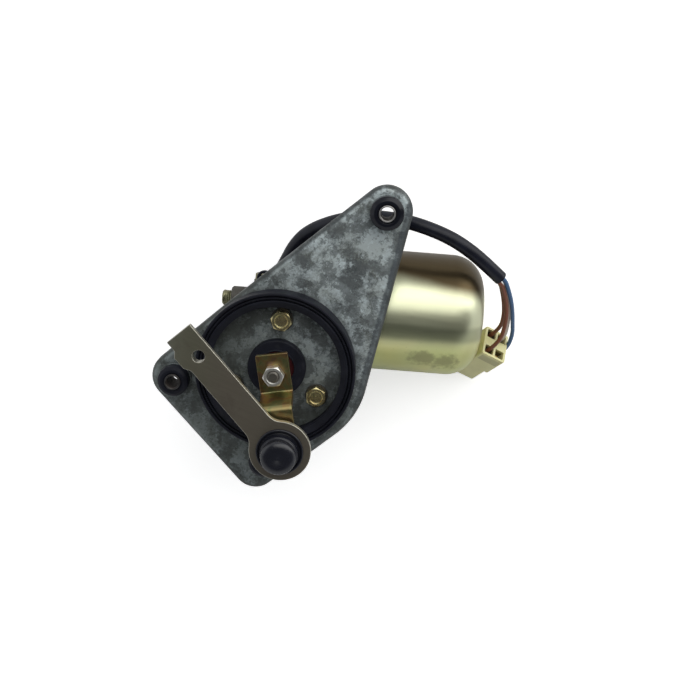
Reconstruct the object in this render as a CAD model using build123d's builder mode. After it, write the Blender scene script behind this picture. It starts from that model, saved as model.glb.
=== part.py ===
from build123d import *
import math
import os

os.makedirs("parts", exist_ok=True)

# A windscreen wiper motor with its mounting plate, crank and link, in millimetres.
# Origin: the output shaft's axis at the plate's front face. +Z runs out along the
# output shaft, +X along the motor from the gearbox to the can, and the part lies
# on its back, on the can and the gearbox cover.

# ---- mounting plate -------------------------------------------------------------
sheet = 2.3                      # steel sheet of the plate
rim_depth = 7.2                  # the folded rim, from the front face back
rim_bend = 3.4                   # outer radius of the fold
plate_centre = (2.6, -2.6)       # middle of the plate's round part
plate_radius = 46.8
mount_points = {"top": (52.2, 87.2), "left": (-54.8, -10.8), "bottom": (-3.8, -53.4)}
lobes = {                        # middle and radius of each rounded corner
    "top": ((52.2, 87.2), 13.5),
    "left": ((-54.8, -10.8), 13.5),
    "bottom": ((-9.5, -60.0), 12.3),
}
collar_bore = 7.1                # drawn collar round each mounting hole (radius)
collar_wall = 1.7
collar_height = 2.2
shaft_hole = 13.0                # hole for the gearbox's bearing boss (radius)
channel_inner = 35.8             # pressed channel that the seal ring sits in (radii)
channel_outer = 40.7
channel_depth = 1.2

# ---- mounting grommets and their spacer sleeves ---------------------------------
sleeve_bore = 3.45               # radius, for an M6 bolt
sleeve_wall = 0.8
sleeve_front = 9.5
sleeve_back = -8.0
grommet_flange = 8.3
grommet_front = 8.9
grommet_back = -7.2
fit_gap = 0.05

# ---- seal ring ------------------------------------------------------------------
seal_outer = 42.6
seal_height = 12.0
seal_round = 1.1
seal_lift = 0.15                 # the outer wall stands this far off the plate
seal_groove = 39.8               # radius between the two grooves of the front face
seal_groove_depth = 1.7
seal_groove_width = 1.0
seal_ridge = 0.7
seal_lip_bore = 34.7

# ---- plate bolts ----------------------------------------------------------------
bolt_circle_radius = 26.4
bolt_start = 87.4                # degrees, the first bolt
bolt_count = 3
m6_radius = 3.0
m6_flats = 10.0
bolt_head = 4.2
bolt_thread = 12.0               # length in the gearbox
washer_radius = 6.2
washer_height = 1.6
washer_split = 1.3

# ---- gear train -----------------------------------------------------------------
wheel_teeth = 50
worm_pitch = 2.639               # axial pitch, one start
worm_pitch_radius = 5.0
wheel_pitch_radius = wheel_teeth * worm_pitch / (2 * math.pi)
worm_y = wheel_pitch_radius + worm_pitch_radius
plate_gap = 3.2                  # between the plate's rim and the can
can_radius = 34.6
worm_z = -(rim_depth + plate_gap + can_radius)
tooth_addendum = 0.70
tooth_dedendum = 1.15
tooth_thickness = 0.85           # at the pitch line, thinned for backlash
tooth_slope = 0.36               # tangent of the flank angle
wheel_face = 9.0
wheel_hub = 8.5
wheel_rim = 3.0
wheel_recess = 4.0
worm_addendum = 0.84
worm_turns = 8

# ---- output shaft ---------------------------------------------------------------
shaft_radius = 5.0
running_gap = 0.03
shaft_seat = 4.0                 # radius of the crank's seat
bush_wall = 1.5
bush_length = 14.0
thrust_washer_height = 1.0
side_gap = 0.3

# ---- gear housing ---------------------------------------------------------------
chamber_radius = 24.0
chamber_wall = 4.0
chamber_front = worm_z + 7.5     # inside face of the chamber's front wall
chamber_front_wall = 3.5
chamber_back = worm_z - 15.0
boss_radius = 12.0
boss_top = 2.7
felt_seat_radius = 9.4
felt_seat = -0.6
clip_seat_radius = 7.8
clip_seat = -3.0
post_radius = 6.0
rib = 4.0
tunnel_radius = 11.0
tunnel_bore = 7.4
tunnel_left = -20.8
end_boss_radius = 7.0
end_boss_left = -32.4
back_flange_radius = 30.5
back_flange_height = 3.0
cover_screw_radius = 33.2
cover_ear = 5.0
cover_screw_angles = (165, -105, -30)
m4_radius = 2.0

# ---- motor ----------------------------------------------------------------------
can_wall = 2.0
can_shoulder = 18.4              # radius of the drawn end's shoulder
can_open = 42.0                  # x of the open end, on the gearbox's flange
can_end = 111.6
flange_height = 6.0
ear_reach = 5.0                  # can screws' middles, out from the can's wall
ear_radius = 5.5
m5_radius = 2.5
armature_shaft_radius = 4.0
armature_left = -17.7
magnet_wall = 7.8                # thickness of the magnets
core_start = 62.0
core_end = 92.0
air_gap = 0.8
magnet_start = 59.0
magnet_arc = 120.0
commutator_radius = 10.0
commutator_start = 45.0
commutator_end = 54.5
bearing_radius = 11.0
bearing_start = 29.0
bearing_width = 7.0
can_bush_start = 101.0
thrust_screw_radius = 4.5
thrust_screw_left = -37.7

# ---- crank and link -------------------------------------------------------------
crank_radius = 35.3              # shaft to ball
crank_angle = -78.8              # degrees from +X, at rest
crank_width = 17.0
strip = 3.0                      # thickness of the crank's and the link's strip
crank_bottom = 13.0              # underside at the shaft
crank_tail = 11.0
crank_step = 14.0                # height of the joggle
step_start = 10.6
step_end = 15.2
nut_height = 5.0
ball_radius = 6.0
ball_height = 40.5
stud_neck = 3.6
stud_shank = 4.0
stud_flange = 7.0
stud_flange_height = 1.2
link_bottom = 33.0
link_angle = 132.6               # degrees from +X, at rest
link_length = 63.9               # ball to eye
link_tip = 15.2                  # beyond the eye
link_width = 15.8
link_round = 16.0                # radius of the ball end
link_eye = 3.2                   # radius
eye_collar = 1.5                 # wall of the eye's drawn collar
eye_collar_height = 2.5
socket_flange = 12.2
socket_body = 9.7
socket_cap = 9.0
socket_crown = 1.45              # wall above the ball's seat

# ---- gearbox cover and parking switch --------------------------------------------
gasket_height = 0.6
cover_sheet = 2.0
dome_radius = 20.0
dome_wall = 2.2
rest_plane = worm_z - can_radius     # the surface that the part lies on
outlet_x = -9.3
outlet_z = worm_z - 25.0
outlet_radius = 7.0
outlet_end = 20.5
board_height = 1.6
board_top = worm_z - 20.0

# ---- harness --------------------------------------------------------------------
harness_radius = 3.95
wire_radius = 1.2
connector_width = 15.7
connector_depth = 18.8
connector_length = 31.2
connector_wall = 1.4
cavity_depth = 7.0

# ---- earth screw on the worm's tunnel -------------------------------------------
earth_x = -15.5
earth_flats = 7.0
earth_head = 3.0
earth_thread = 3.0
earth_pad = 1.0                  # height of the cast pad above the tunnel
earth_seat = worm_y + tunnel_radius + earth_pad
tag_height = 0.8
tag_radius = 4.0

shaft_axis = Axis.Z
ear_offset = can_radius + ear_reach
core_radius = can_radius - can_wall - magnet_wall - air_gap
earth_plane = Plane(origin=(earth_x, earth_seat, worm_z), x_dir=(1, 0, 0), z_dir=(0, 1, 0))
motor_axis = Axis((0, worm_y, worm_z), (1, 0, 0))
motor_plane = Plane(origin=(0, worm_y, worm_z), x_dir=(1, 0, 0), z_dir=(0, 0, 1))
ball_x = crank_radius * math.cos(math.radians(crank_angle))
ball_y = crank_radius * math.sin(math.radians(crank_angle))


def finish(part, name):
    """Labels a finished piece and writes its STEP file."""
    part.label = name
    export_step(part, "parts/" + name + ".step")


def turned(points, plane=Plane.XZ, axis=Axis.Z):
    """A solid of revolution; points are (radius, height), or (axial, radius) for the motor."""
    with BuildPart() as body:
        with BuildSketch(plane):
            with BuildLine():
                Polyline(*points, close=True)
            make_face()
        revolve(axis=axis)
    return body


def ring(inner, outer, bottom, top):
    """A plain ring about the output shaft."""
    return turned([(inner, bottom), (outer, bottom), (outer, top), (inner, top)])


def motor_ring(inner, outer, start, end):
    """A plain ring about the motor's axis."""
    outline = [(start, inner), (end, inner), (end, outer), (start, outer)]
    return turned(outline, motor_plane, motor_axis)


def hull_points(first, first_radius, second, second_radius):
    """The four tangent points of two circles' common hull."""
    reach = math.dist(first, second)
    heading = math.atan2(second[1] - first[1], second[0] - first[0])
    spread = math.acos((first_radius - second_radius) / reach)
    points = []
    for side, swap in ((spread, False), (-spread, True)):
        normal = (math.cos(heading + side), math.sin(heading + side))
        pair = [
            (first[0] + first_radius * normal[0], first[1] + first_radius * normal[1]),
            (second[0] + second_radius * normal[0], second[1] + second_radius * normal[1]),
        ]
        points += pair[::-1] if swap else pair
    return points


# ==== mounting plate =============================================================
def plate_outline(inset):
    """The plate's outline: a round part and three lobes, drawn in by the inset."""
    with BuildSketch() as outline:
        with Locations(plate_centre):
            Circle(plate_radius - inset)
        for point, radius in lobes.values():
            with Locations(point):
                Circle(radius - inset)
            with BuildLine():
                Polyline(
                    *hull_points(plate_centre, plate_radius - inset, point, radius - inset),
                    close=True,
                )
            make_face()
        with BuildLine():
            left, left_radius = lobes["left"]
            bottom, bottom_radius = lobes["bottom"]
            Polyline(*hull_points(left, left_radius - inset, bottom, bottom_radius - inset), close=True)
        make_face()
    return outline.sketch


plate_face = plate_outline(0)
hollow_face = plate_outline(sheet)

with BuildPart() as plate_hollow:
    add(hollow_face)
    extrude(amount=-rim_depth)
    fillet(plate_hollow.faces().sort_by(Axis.Z)[-1].edges(), rim_bend - sheet)

with BuildPart() as mount_plate:
    add(plate_face)
    extrude(amount=-rim_depth)
    fillet(mount_plate.faces().sort_by(Axis.Z)[-1].edges(), rim_bend)
    with Locations((0, 0, -sheet)):
        add(plate_hollow.part, mode=Mode.SUBTRACT)
    # the channel for the seal ring is pressed back by its own depth
    with BuildSketch(Plane.XY.offset(-sheet)):
        Circle(channel_outer + channel_depth)
        Circle(channel_inner - channel_depth, mode=Mode.SUBTRACT)
    extrude(amount=-channel_depth)
    with BuildSketch():
        Circle(channel_outer)
        Circle(channel_inner, mode=Mode.SUBTRACT)
    extrude(amount=-channel_depth, mode=Mode.SUBTRACT)
    # drawn collars round the mounting holes
    with BuildSketch(Plane.XY.offset(-sheet)):
        with Locations(*mount_points.values()):
            Circle(collar_bore + collar_wall)
    extrude(amount=sheet + collar_height)
    with BuildSketch(Plane.XY.offset(collar_height)):
        with Locations(*mount_points.values()):
            Circle(collar_bore)
        Circle(shaft_hole)
        with PolarLocations(bolt_circle_radius, bolt_count, bolt_start):
            Circle(m6_radius + 0.3)
    extrude(amount=-rim_depth - collar_height, mode=Mode.SUBTRACT)
finish(mount_plate.part, "mount_plate")

# ==== grommets and spacer sleeves ================================================
for spot, (spot_x, spot_y) in mount_points.items():
    spot_axis = Axis((spot_x, spot_y, 0), (0, 0, 1))
    spot_plane = Plane(origin=(spot_x, spot_y, 0), x_dir=(1, 0, 0), z_dir=(0, -1, 0))
    grommet_bore = sleeve_bore + sleeve_wall + fit_gap
    with BuildPart() as grommet:
        with BuildSketch(spot_plane):
            with BuildLine():
                Polyline(
                    (grommet_bore, grommet_back),
                    (grommet_flange - 1.2, grommet_back),
                    (grommet_flange, grommet_back + 1.2),
                    (grommet_flange, -sheet),
                    (collar_bore - fit_gap, -sheet),
                    (collar_bore - fit_gap, collar_height),
                    (grommet_flange, collar_height),
                    (grommet_flange, grommet_front - 1.3),
                    (grommet_flange - 0.4, grommet_front - 0.4),
                    (grommet_flange - 1.3, grommet_front),
                    (grommet_bore + 1.0, grommet_front),
                    (grommet_bore, grommet_front - 0.6),
                    close=True,
                )
            make_face()
        revolve(axis=spot_axis)
    finish(grommet.part, "grommet_" + spot)

    with BuildPart() as spacer:
        with BuildSketch(Plane.XY.offset(sleeve_back)):
            with Locations((spot_x, spot_y)):
                Circle(sleeve_bore + sleeve_wall)
                Circle(sleeve_bore, mode=Mode.SUBTRACT)
        extrude(amount=sleeve_front - sleeve_back)
    finish(spacer.part, "spacer_sleeve_" + spot)

# ==== seal ring ==================================================================
groove_out = seal_groove + seal_ridge / 2
groove_in = seal_groove - seal_ridge / 2
groove_floor = seal_height - seal_groove_depth
with BuildPart() as seal_ring:
    with BuildSketch(Plane.XZ):
        with BuildLine():
            Polyline(
                (channel_inner + 0.3, -channel_depth),
                (channel_outer - 0.3, -channel_depth),
                (channel_outer - 0.3, seal_lift),
                (seal_outer, seal_lift),
                (seal_outer, seal_height - seal_round),
                (seal_outer - seal_round * 0.3, seal_height - seal_round * 0.3),
                (seal_outer - seal_round, seal_height),
                (groove_out + seal_groove_width, seal_height),
                (groove_out + seal_groove_width * 0.8, groove_floor),
                (groove_out + seal_groove_width * 0.2, groove_floor),
                (groove_out, seal_height - 0.2),
                (groove_in, seal_height - 0.2),
                (groove_in - seal_groove_width * 0.2, groove_floor),
                (groove_in - seal_groove_width * 0.8, groove_floor),
                (groove_in - seal_groove_width, seal_height - 0.1),
                (groove_in - seal_groove_width * 2, seal_height - 0.4),
                (seal_lip_bore, seal_height - 2.0),
                (seal_lip_bore, seal_height - 3.4),
                (channel_inner + 1.3, seal_height - 5.4),
                (channel_inner + 1.3, 1.4),
                (channel_inner + 0.3, 0.4),
                close=True,
            )
        make_face()
    revolve(axis=shaft_axis)
finish(seal_ring.part, "seal_ring")


# ==== fasteners ==================================================================
def hexagon_head(flats, bottom, top, chamfer_both=False):
    """A hexagon whose corners are turned off at the top, and at the bottom of a nut."""
    corner = flats / math.sqrt(3)
    fall = (corner - flats / 2) * 0.6
    low = [(corner, bottom)]
    if chamfer_both:
        low = [(flats / 2, bottom), (corner, bottom + fall)]
    with BuildPart() as head:
        with BuildSketch(Plane.XY.offset(bottom)):
            RegularPolygon(flats / 2, 6, major_radius=False)
        extrude(amount=top - bottom)
        with BuildSketch(Plane.XZ):
            with BuildLine():
                Polyline((0, bottom), *low, (corner, top - fall), (flats / 2, top), (0, top), close=True)
            make_face()
        revolve(axis=Axis.Z, mode=Mode.INTERSECT)
    return head.part


bolt_head_bottom = washer_height
bolt_head_top = bolt_head_bottom + bolt_head
with BuildPart() as bolt_pattern:
    add(hexagon_head(m6_flats, bolt_head_bottom, bolt_head_top))
    with BuildSketch(Plane.XY.offset(bolt_head_top)):
        Circle(m6_flats * 0.36)
    extrude(amount=-0.4, mode=Mode.SUBTRACT)
    with BuildSketch(Plane.XY.offset(bolt_head_bottom)):
        Circle(m6_radius)
    extrude(amount=-(bolt_head_bottom + sheet + bolt_thread))

with BuildPart() as plate_bolts:
    with PolarLocations(bolt_circle_radius, bolt_count, bolt_start):
        add(bolt_pattern.part)
finish(plate_bolts.part, "plate_bolts")

with BuildPart() as plate_washers:
    with BuildSketch():
        with PolarLocations(bolt_circle_radius, bolt_count, bolt_start):
            Circle(washer_radius)
            Circle(m6_radius + 0.2, mode=Mode.SUBTRACT)
            with Locations((washer_radius * 0.6, washer_radius * 0.6)):
                Rectangle(washer_radius * 1.4, washer_split, rotation=50, mode=Mode.SUBTRACT)
    extrude(amount=washer_height)
finish(plate_washers.part, "plate_washers")

# ==== gear housing ===============================================================
chamber_outer = chamber_radius + chamber_wall
chamber_roof = chamber_front + chamber_front_wall
bush_radius = shaft_radius + bush_wall
bolt_hole_bottom = -sheet - bolt_thread - 1.5
cover_ears = [
    (cover_screw_radius * math.cos(math.radians(angle)), cover_screw_radius * math.sin(math.radians(angle)))
    for angle in cover_screw_angles
]
post_angles = [bolt_start + 360 / bolt_count * number for number in range(bolt_count)]
cover_thread = 8.0
flange_start = can_open - flange_height
bell_start = 22.0


def back_outline(radius):
    """The outline that the housing's back flange, the gasket and the cover share."""
    with BuildSketch() as outline:
        Circle(radius)
        for ear in cover_ears:
            with Locations(ear):
                Circle(cover_ear)
            with BuildLine():
                Polyline(*hull_points((0, 0), cover_ear * 2, ear, cover_ear), close=True)
            make_face()
    return outline.sketch


def flange_outline():
    """The outline that the motor's flange and the can's mouth share, with two ears."""
    with BuildSketch() as outline:
        Circle(can_radius)
        for side in (1, -1):
            with Locations((side * ear_offset, 0)):
                Circle(ear_radius)
            with BuildLine():
                Polyline(
                    *hull_points((0, 0), ear_radius * 3, (side * ear_offset, 0), ear_radius),
                    close=True,
                )
            make_face()
    return outline.sketch


def motor_section(start):
    """The plane across the motor at a given x, with its own x along the part's +Y."""
    return Plane(origin=(start, worm_y, worm_z), x_dir=(0, 1, 0), z_dir=(1, 0, 0))


back_face = back_outline(back_flange_radius)
mouth_face = flange_outline()

with BuildPart() as gear_housing:
    with BuildSketch(Plane.XY.offset(chamber_back)):
        Circle(chamber_outer)
    extrude(amount=chamber_roof - chamber_back)
    fillet(gear_housing.faces().sort_by(Axis.Z)[-1].edges(), 2.0)
    with BuildSketch(Plane.XY.offset(chamber_back)):
        add(back_face)
    extrude(amount=back_flange_height)
    with BuildSketch(Plane.XY.offset(chamber_back)):
        with Locations(*cover_ears):
            Circle(cover_ear)
    extrude(amount=cover_thread + 2)
    # the bearing boss, the three posts that the plate is bolted to, and their ribs
    with BuildSketch(Plane.XY.offset(chamber_roof - 1)):
        Circle(boss_radius)
    extrude(amount=boss_top - chamber_roof + 1)
    with BuildSketch(Plane.XY.offset(chamber_front - 4.5)):
        with PolarLocations(bolt_circle_radius, bolt_count, bolt_start):
            Circle(post_radius)
    extrude(amount=-sheet - chamber_front + 4.5)
    with BuildSketch(Plane.XY.offset(chamber_roof - 1)):
        for angle in post_angles:
            with PolarLocations(bolt_circle_radius / 2, 1, angle):
                Rectangle(bolt_circle_radius, rib)
    extrude(amount=-sheet - 3.5 - chamber_roof + 1)
    # the worm's tunnel, its end boss and the bell that carries the motor
    with BuildSketch(motor_plane):
        with BuildLine():
            Polyline(
                (end_boss_left, 0), (end_boss_left, end_boss_radius - 0.8),
                (end_boss_left + 0.8, end_boss_radius),
                (tunnel_left, end_boss_radius), (tunnel_left, tunnel_radius - 1.5),
                (tunnel_left + 1.5, tunnel_radius), (bell_start, tunnel_radius),
                (bell_start + 7, tunnel_radius + 4),
                (flange_start, can_radius - 3), (flange_start, can_radius),
                (can_open, can_radius), (can_open, 0),
                close=True,
            )
        make_face()
    revolve(axis=motor_axis)
    with BuildSketch(motor_section(flange_start)):
        add(mouth_face)
    extrude(amount=flange_height)
    with BuildSketch(earth_plane):
        Circle(tag_radius + 0.5)
    extrude(amount=-earth_pad - 2)
    # everything hollow inside
    with BuildSketch(Plane.XY.offset(chamber_back)):
        Circle(chamber_radius)
    extrude(amount=chamber_front - chamber_back, mode=Mode.SUBTRACT)
    with BuildSketch(Plane.XZ):
        with BuildLine():
            Polyline(
                (0, chamber_front - 1), (bush_radius, chamber_front - 1),
                (bush_radius, clip_seat), (clip_seat_radius, clip_seat),
                (clip_seat_radius, felt_seat), (felt_seat_radius, felt_seat),
                (felt_seat_radius, boss_top + 1), (0, boss_top + 1),
                close=True,
            )
        make_face()
    revolve(axis=shaft_axis, mode=Mode.SUBTRACT)
    with BuildSketch(Plane.XY.offset(-sheet)):
        with PolarLocations(bolt_circle_radius, bolt_count, bolt_start):
            Circle(m6_radius)
    extrude(amount=bolt_hole_bottom + sheet, mode=Mode.SUBTRACT)
    with BuildSketch(Plane.XY.offset(chamber_back)):
        with Locations(*cover_ears):
            Circle(m4_radius)
    extrude(amount=cover_thread, mode=Mode.SUBTRACT)
    with BuildSketch(motor_plane):
        with BuildLine():
            Polyline(
                (end_boss_left - 1, 0), (end_boss_left - 1, thrust_screw_radius),
                (armature_left - 1.6, thrust_screw_radius),
                (armature_left - 1.6, bush_radius - 0.5),
                (armature_left + 6, bush_radius - 0.5), (armature_left + 6, tunnel_bore),
                (bearing_start, tunnel_bore), (bearing_start, bearing_radius),
                (bearing_start + bearing_width, bearing_radius),
                (can_open + 1, bearing_radius + 3), (can_open + 1, 0),
                close=True,
            )
        make_face()
    revolve(axis=motor_axis, mode=Mode.SUBTRACT)
    with BuildSketch(motor_section(flange_start)):
        with Locations((ear_offset, 0), (-ear_offset, 0)):
            Circle(m5_radius)
    extrude(amount=flange_height, mode=Mode.SUBTRACT)
    with BuildSketch(earth_plane):
        Circle(m4_radius)
    extrude(amount=-earth_thread, mode=Mode.SUBTRACT)
finish(gear_housing.part, "gear_housing")

# ==== bearings of the output shaft, and its seals ================================
rear_bush = ring(shaft_radius + running_gap, bush_radius, chamber_front, chamber_front + bush_length)
finish(rear_bush.part, "rear_bush")
front_bush = ring(shaft_radius + running_gap, bush_radius, clip_seat - bush_length, clip_seat)
finish(front_bush.part, "front_bush")
washer_bottom = chamber_front - thrust_washer_height
thrust_washer = ring(shaft_radius + side_gap, wheel_hub + 1.5, washer_bottom, chamber_front)
finish(thrust_washer.part, "thrust_washer")
felt_height = 2.6
felt_washer = ring(shaft_radius + side_gap, felt_seat_radius - fit_gap, felt_seat, felt_seat + felt_height)
finish(felt_washer.part, "felt_washer")

cap_radius = 15.7
cap_height = 4.4
cap_top_wall = 1.6
with BuildPart() as shaft_seal_cap:
    with BuildSketch(Plane.XZ):
        with BuildLine():
            Polyline(
                (boss_radius + fit_gap, 0), (cap_radius, 0), (cap_radius, cap_height - 0.9),
                (cap_radius - 0.9, cap_height), (felt_seat_radius + 0.6, cap_height),
                (felt_seat_radius, cap_height - 0.5), (felt_seat_radius, boss_top),
                (boss_radius + fit_gap, boss_top),
                close=True,
            )
        make_face()
    revolve(axis=shaft_axis)
finish(shaft_seal_cap.part, "shaft_seal_cap")

# ==== output shaft, wheel and parking disc =======================================
wheel_front = worm_z + wheel_face / 2
wheel_back = worm_z - wheel_face / 2
hub_front = washer_bottom - side_gap
hub_back = wheel_back - 2.0
tip_radius = wheel_pitch_radius + tooth_addendum
root_radius = wheel_pitch_radius - tooth_dedendum
tip_half = tooth_thickness / 2 - tooth_addendum * tooth_slope
root_half = tooth_thickness / 2 + tooth_dedendum * tooth_slope
with BuildSketch() as tooth:
    with BuildLine():
        Polyline(
            (root_radius - 0.3, -root_half), (root_radius, -root_half),
            (tip_radius, -tip_half), (tip_radius, tip_half),
            (root_radius, root_half), (root_radius - 0.3, root_half),
            close=True,
        )
    make_face()

with BuildPart() as worm_wheel:
    with BuildSketch(Plane.XY.offset(wheel_back)):
        Circle(root_radius)
        with PolarLocations(0, wheel_teeth, 90):
            add(tooth.sketch)
    extrude(amount=wheel_face)
    with BuildSketch(Plane.XY.offset(wheel_front)):
        Circle(root_radius - wheel_rim)
        Circle(wheel_hub, mode=Mode.SUBTRACT)
    extrude(amount=-wheel_recess, mode=Mode.SUBTRACT)
    with BuildSketch(Plane.XY.offset(hub_back)):
        Circle(wheel_hub)
    extrude(amount=hub_front - hub_back)
    with BuildSketch(Plane.XY.offset(hub_back)):
        Circle(shaft_radius)
    extrude(amount=hub_front - hub_back, mode=Mode.SUBTRACT)
finish(worm_wheel.part, "worm_wheel")

park_disc_height = 0.6
with BuildPart() as park_disc:
    with BuildSketch(Plane.XY.offset(wheel_back)):
        Circle(root_radius - 2)
        Circle(wheel_hub + 0.1, mode=Mode.SUBTRACT)
        with PolarLocations(root_radius - 3.5, 1, -60):
            Rectangle(5, 7, mode=Mode.SUBTRACT)
    extrude(amount=-park_disc_height)
finish(park_disc.part, "park_disc")

clip_height = 1.0
clip_bottom = clip_seat + side_gap
clip_top = clip_bottom + clip_height
clip_groove = shaft_radius - 0.6
crank_top = crank_bottom + strip
nut_top = crank_top + nut_height
output_shaft = turned(
    [
        (0, hub_back - 1), (shaft_radius - 0.6, hub_back - 1), (shaft_radius, hub_back - 0.4),
        (shaft_radius, clip_bottom), (clip_groove, clip_bottom), (clip_groove, clip_top),
        (shaft_radius, clip_top), (shaft_radius, crank_bottom), (shaft_seat, crank_bottom),
        (shaft_seat, crank_top - 0.2), (m6_radius, crank_top - 0.2),
        (m6_radius, nut_top - 0.3), (m6_radius - 0.8, nut_top + 0.3), (0, nut_top + 0.3),
    ]
)
finish(output_shaft.part, "output_shaft")

with BuildPart() as shaft_circlip:
    with BuildSketch(Plane.XY.offset(clip_bottom)):
        Circle(clip_seat_radius - 0.8)
        Circle(clip_groove, mode=Mode.SUBTRACT)
        with Locations((-clip_seat_radius / 2, 0)):
            Rectangle(clip_seat_radius, shaft_radius, mode=Mode.SUBTRACT)
    extrude(amount=clip_height)
finish(shaft_circlip.part, "shaft_circlip")

# ==== crank ======================================================================
crank_heading = Vector(1, 0, 0).rotate(Axis.Z, crank_angle)
crank_across = Vector(0, 0, 1).cross(crank_heading)
crank_side = Plane(origin=(0, 0, 0), x_dir=crank_heading, z_dir=-crank_across)
crank_end = crank_radius + crank_width / 2
arm_bottom = crank_bottom + crank_step
arm_top = arm_bottom + strip
bend = 3.6
with BuildPart() as crank_arm:
    with BuildSketch(crank_side):
        with BuildLine():
            Polyline(
                (-crank_tail, crank_bottom), (step_start + 1.6, crank_bottom),
                (step_end + 0.9, arm_bottom), (crank_end, arm_bottom), (crank_end, arm_top),
                (step_end - 1.6, arm_top), (step_start - 0.9, crank_top),
                (-crank_tail, crank_top),
                close=True,
            )
        make_face()
    extrude(amount=crank_width / 2, both=True)
    bends = crank_arm.edges().filter_by(Axis(origin=(0, 0, 0), direction=crank_across))
    inner_bends = bends.filter_by_position(
        Axis(origin=(0, 0, 0), direction=crank_heading), step_start - 3, step_end + 3
    )
    for radius, heights in ((bend, (arm_top, crank_bottom)), (bend - strip + 0.4, (arm_bottom, crank_top))):
        fillet([e for e in inner_bends if min(abs(e.center().Z - z) for z in heights) < 0.1], radius)
    uprights = crank_arm.edges().filter_by(Axis.Z).sort_by(Axis(origin=(0, 0, 0), direction=crank_heading))
    fillet(uprights[-2:], crank_width / 2 - 0.1)
    fillet(uprights[:2], 0.8)
    with BuildSketch(Plane.XY.offset(crank_bottom)):
        Circle(shaft_seat + 0.02)
    extrude(amount=strip, mode=Mode.SUBTRACT)
    with BuildSketch(Plane.XY.offset(arm_bottom)):
        with Locations((ball_x, ball_y)):
            Circle(stud_shank)
    extrude(amount=strip, mode=Mode.SUBTRACT)
finish(crank_arm.part, "crank_arm")

with BuildPart() as crank_nut:
    add(hexagon_head(m6_flats, crank_top, nut_top, chamfer_both=True))
    with BuildSketch(Plane.XY.offset(crank_top)):
        Circle(m6_radius + 0.02)
    extrude(amount=nut_height, mode=Mode.SUBTRACT)
    with BuildSketch(Plane.XZ):
        with BuildLine():
            Polyline(
                (m6_radius, nut_top - 0.6), (m6_radius + 0.6, nut_top), (m6_radius, nut_top + 0.1),
                close=True,
            )
        make_face()
    revolve(axis=Axis.Z, mode=Mode.SUBTRACT)
finish(crank_nut.part, "crank_nut")

# ==== ball stud, link and ball socket ============================================
ball_axis = Axis((ball_x, ball_y, 0), (0, 0, 1))
ball_plane = Plane(origin=(ball_x, ball_y, 0), x_dir=(1, 0, 0), z_dir=(0, -1, 0))
neck_top = ball_height - math.sqrt(ball_radius ** 2 - stud_neck ** 2)
rivet_height = 1.6
flange_top = arm_top + stud_flange_height
with BuildPart() as ball_stud:
    with BuildSketch(ball_plane):
        with BuildLine():
            Polyline(
                (0, ball_height + ball_radius), (0, arm_bottom - rivet_height),
                (stud_shank + 0.8, arm_bottom - rivet_height), (stud_shank + 2, arm_bottom),
                (stud_shank, arm_bottom), (stud_shank, arm_top), (stud_flange, arm_top),
                (stud_flange, flange_top), (stud_neck, flange_top), (stud_neck, neck_top),
            )
            RadiusArc((stud_neck, neck_top), (ball_radius, ball_height), -ball_radius)
            RadiusArc((ball_radius, ball_height), (0, ball_height + ball_radius), -ball_radius)
        make_face()
    revolve(axis=ball_axis)
finish(ball_stud.part, "ball_stud")

link_heading = Vector(1, 0, 0).rotate(Axis.Z, link_angle)
link_top = link_bottom + strip
link_plane = Plane(origin=(ball_x, ball_y, link_bottom), x_dir=link_heading, z_dir=(0, 0, 1))
socket_hole = socket_body - 0.2
link_half = link_width / 2
link_end = link_length + link_tip
shoulder = 2.3
with BuildPart() as link_arm:
    with BuildSketch(link_plane) as link_outline:
        Circle(link_round)
        with BuildLine():
            Polyline(
                (0, -link_half), (link_end, -link_half + 0.6), (link_end, link_half),
                (link_end - 6, link_half), (link_end - 8.4, link_half + shoulder),
                (link_length, link_half + shoulder), (link_length - 3.6, link_half),
                (0, link_half),
                close=True,
            )
        make_face()
        necks = [
            v for v in link_outline.vertices()
            if abs(math.hypot(v.X, v.Y) - link_round) < 0.01 and abs(abs(v.Y) - link_half) < 0.6
        ]
        fillet(necks, 9.0)
    extrude(amount=strip)
    fillet(link_arm.faces().sort_by(Axis.Z)[-1].edges(), 0.4)
    with BuildSketch(link_plane.offset(-eye_collar_height)):
        with Locations((link_length, 0)):
            Circle(link_eye + eye_collar)
    extrude(amount=eye_collar_height)
    with BuildSketch(link_plane.offset(-eye_collar_height)):
        with Locations((link_length, 0)):
            Circle(link_eye)
        Circle(socket_hole)
    extrude(amount=strip + eye_collar_height, mode=Mode.SUBTRACT)
finish(link_arm.part, "link_arm")

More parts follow.
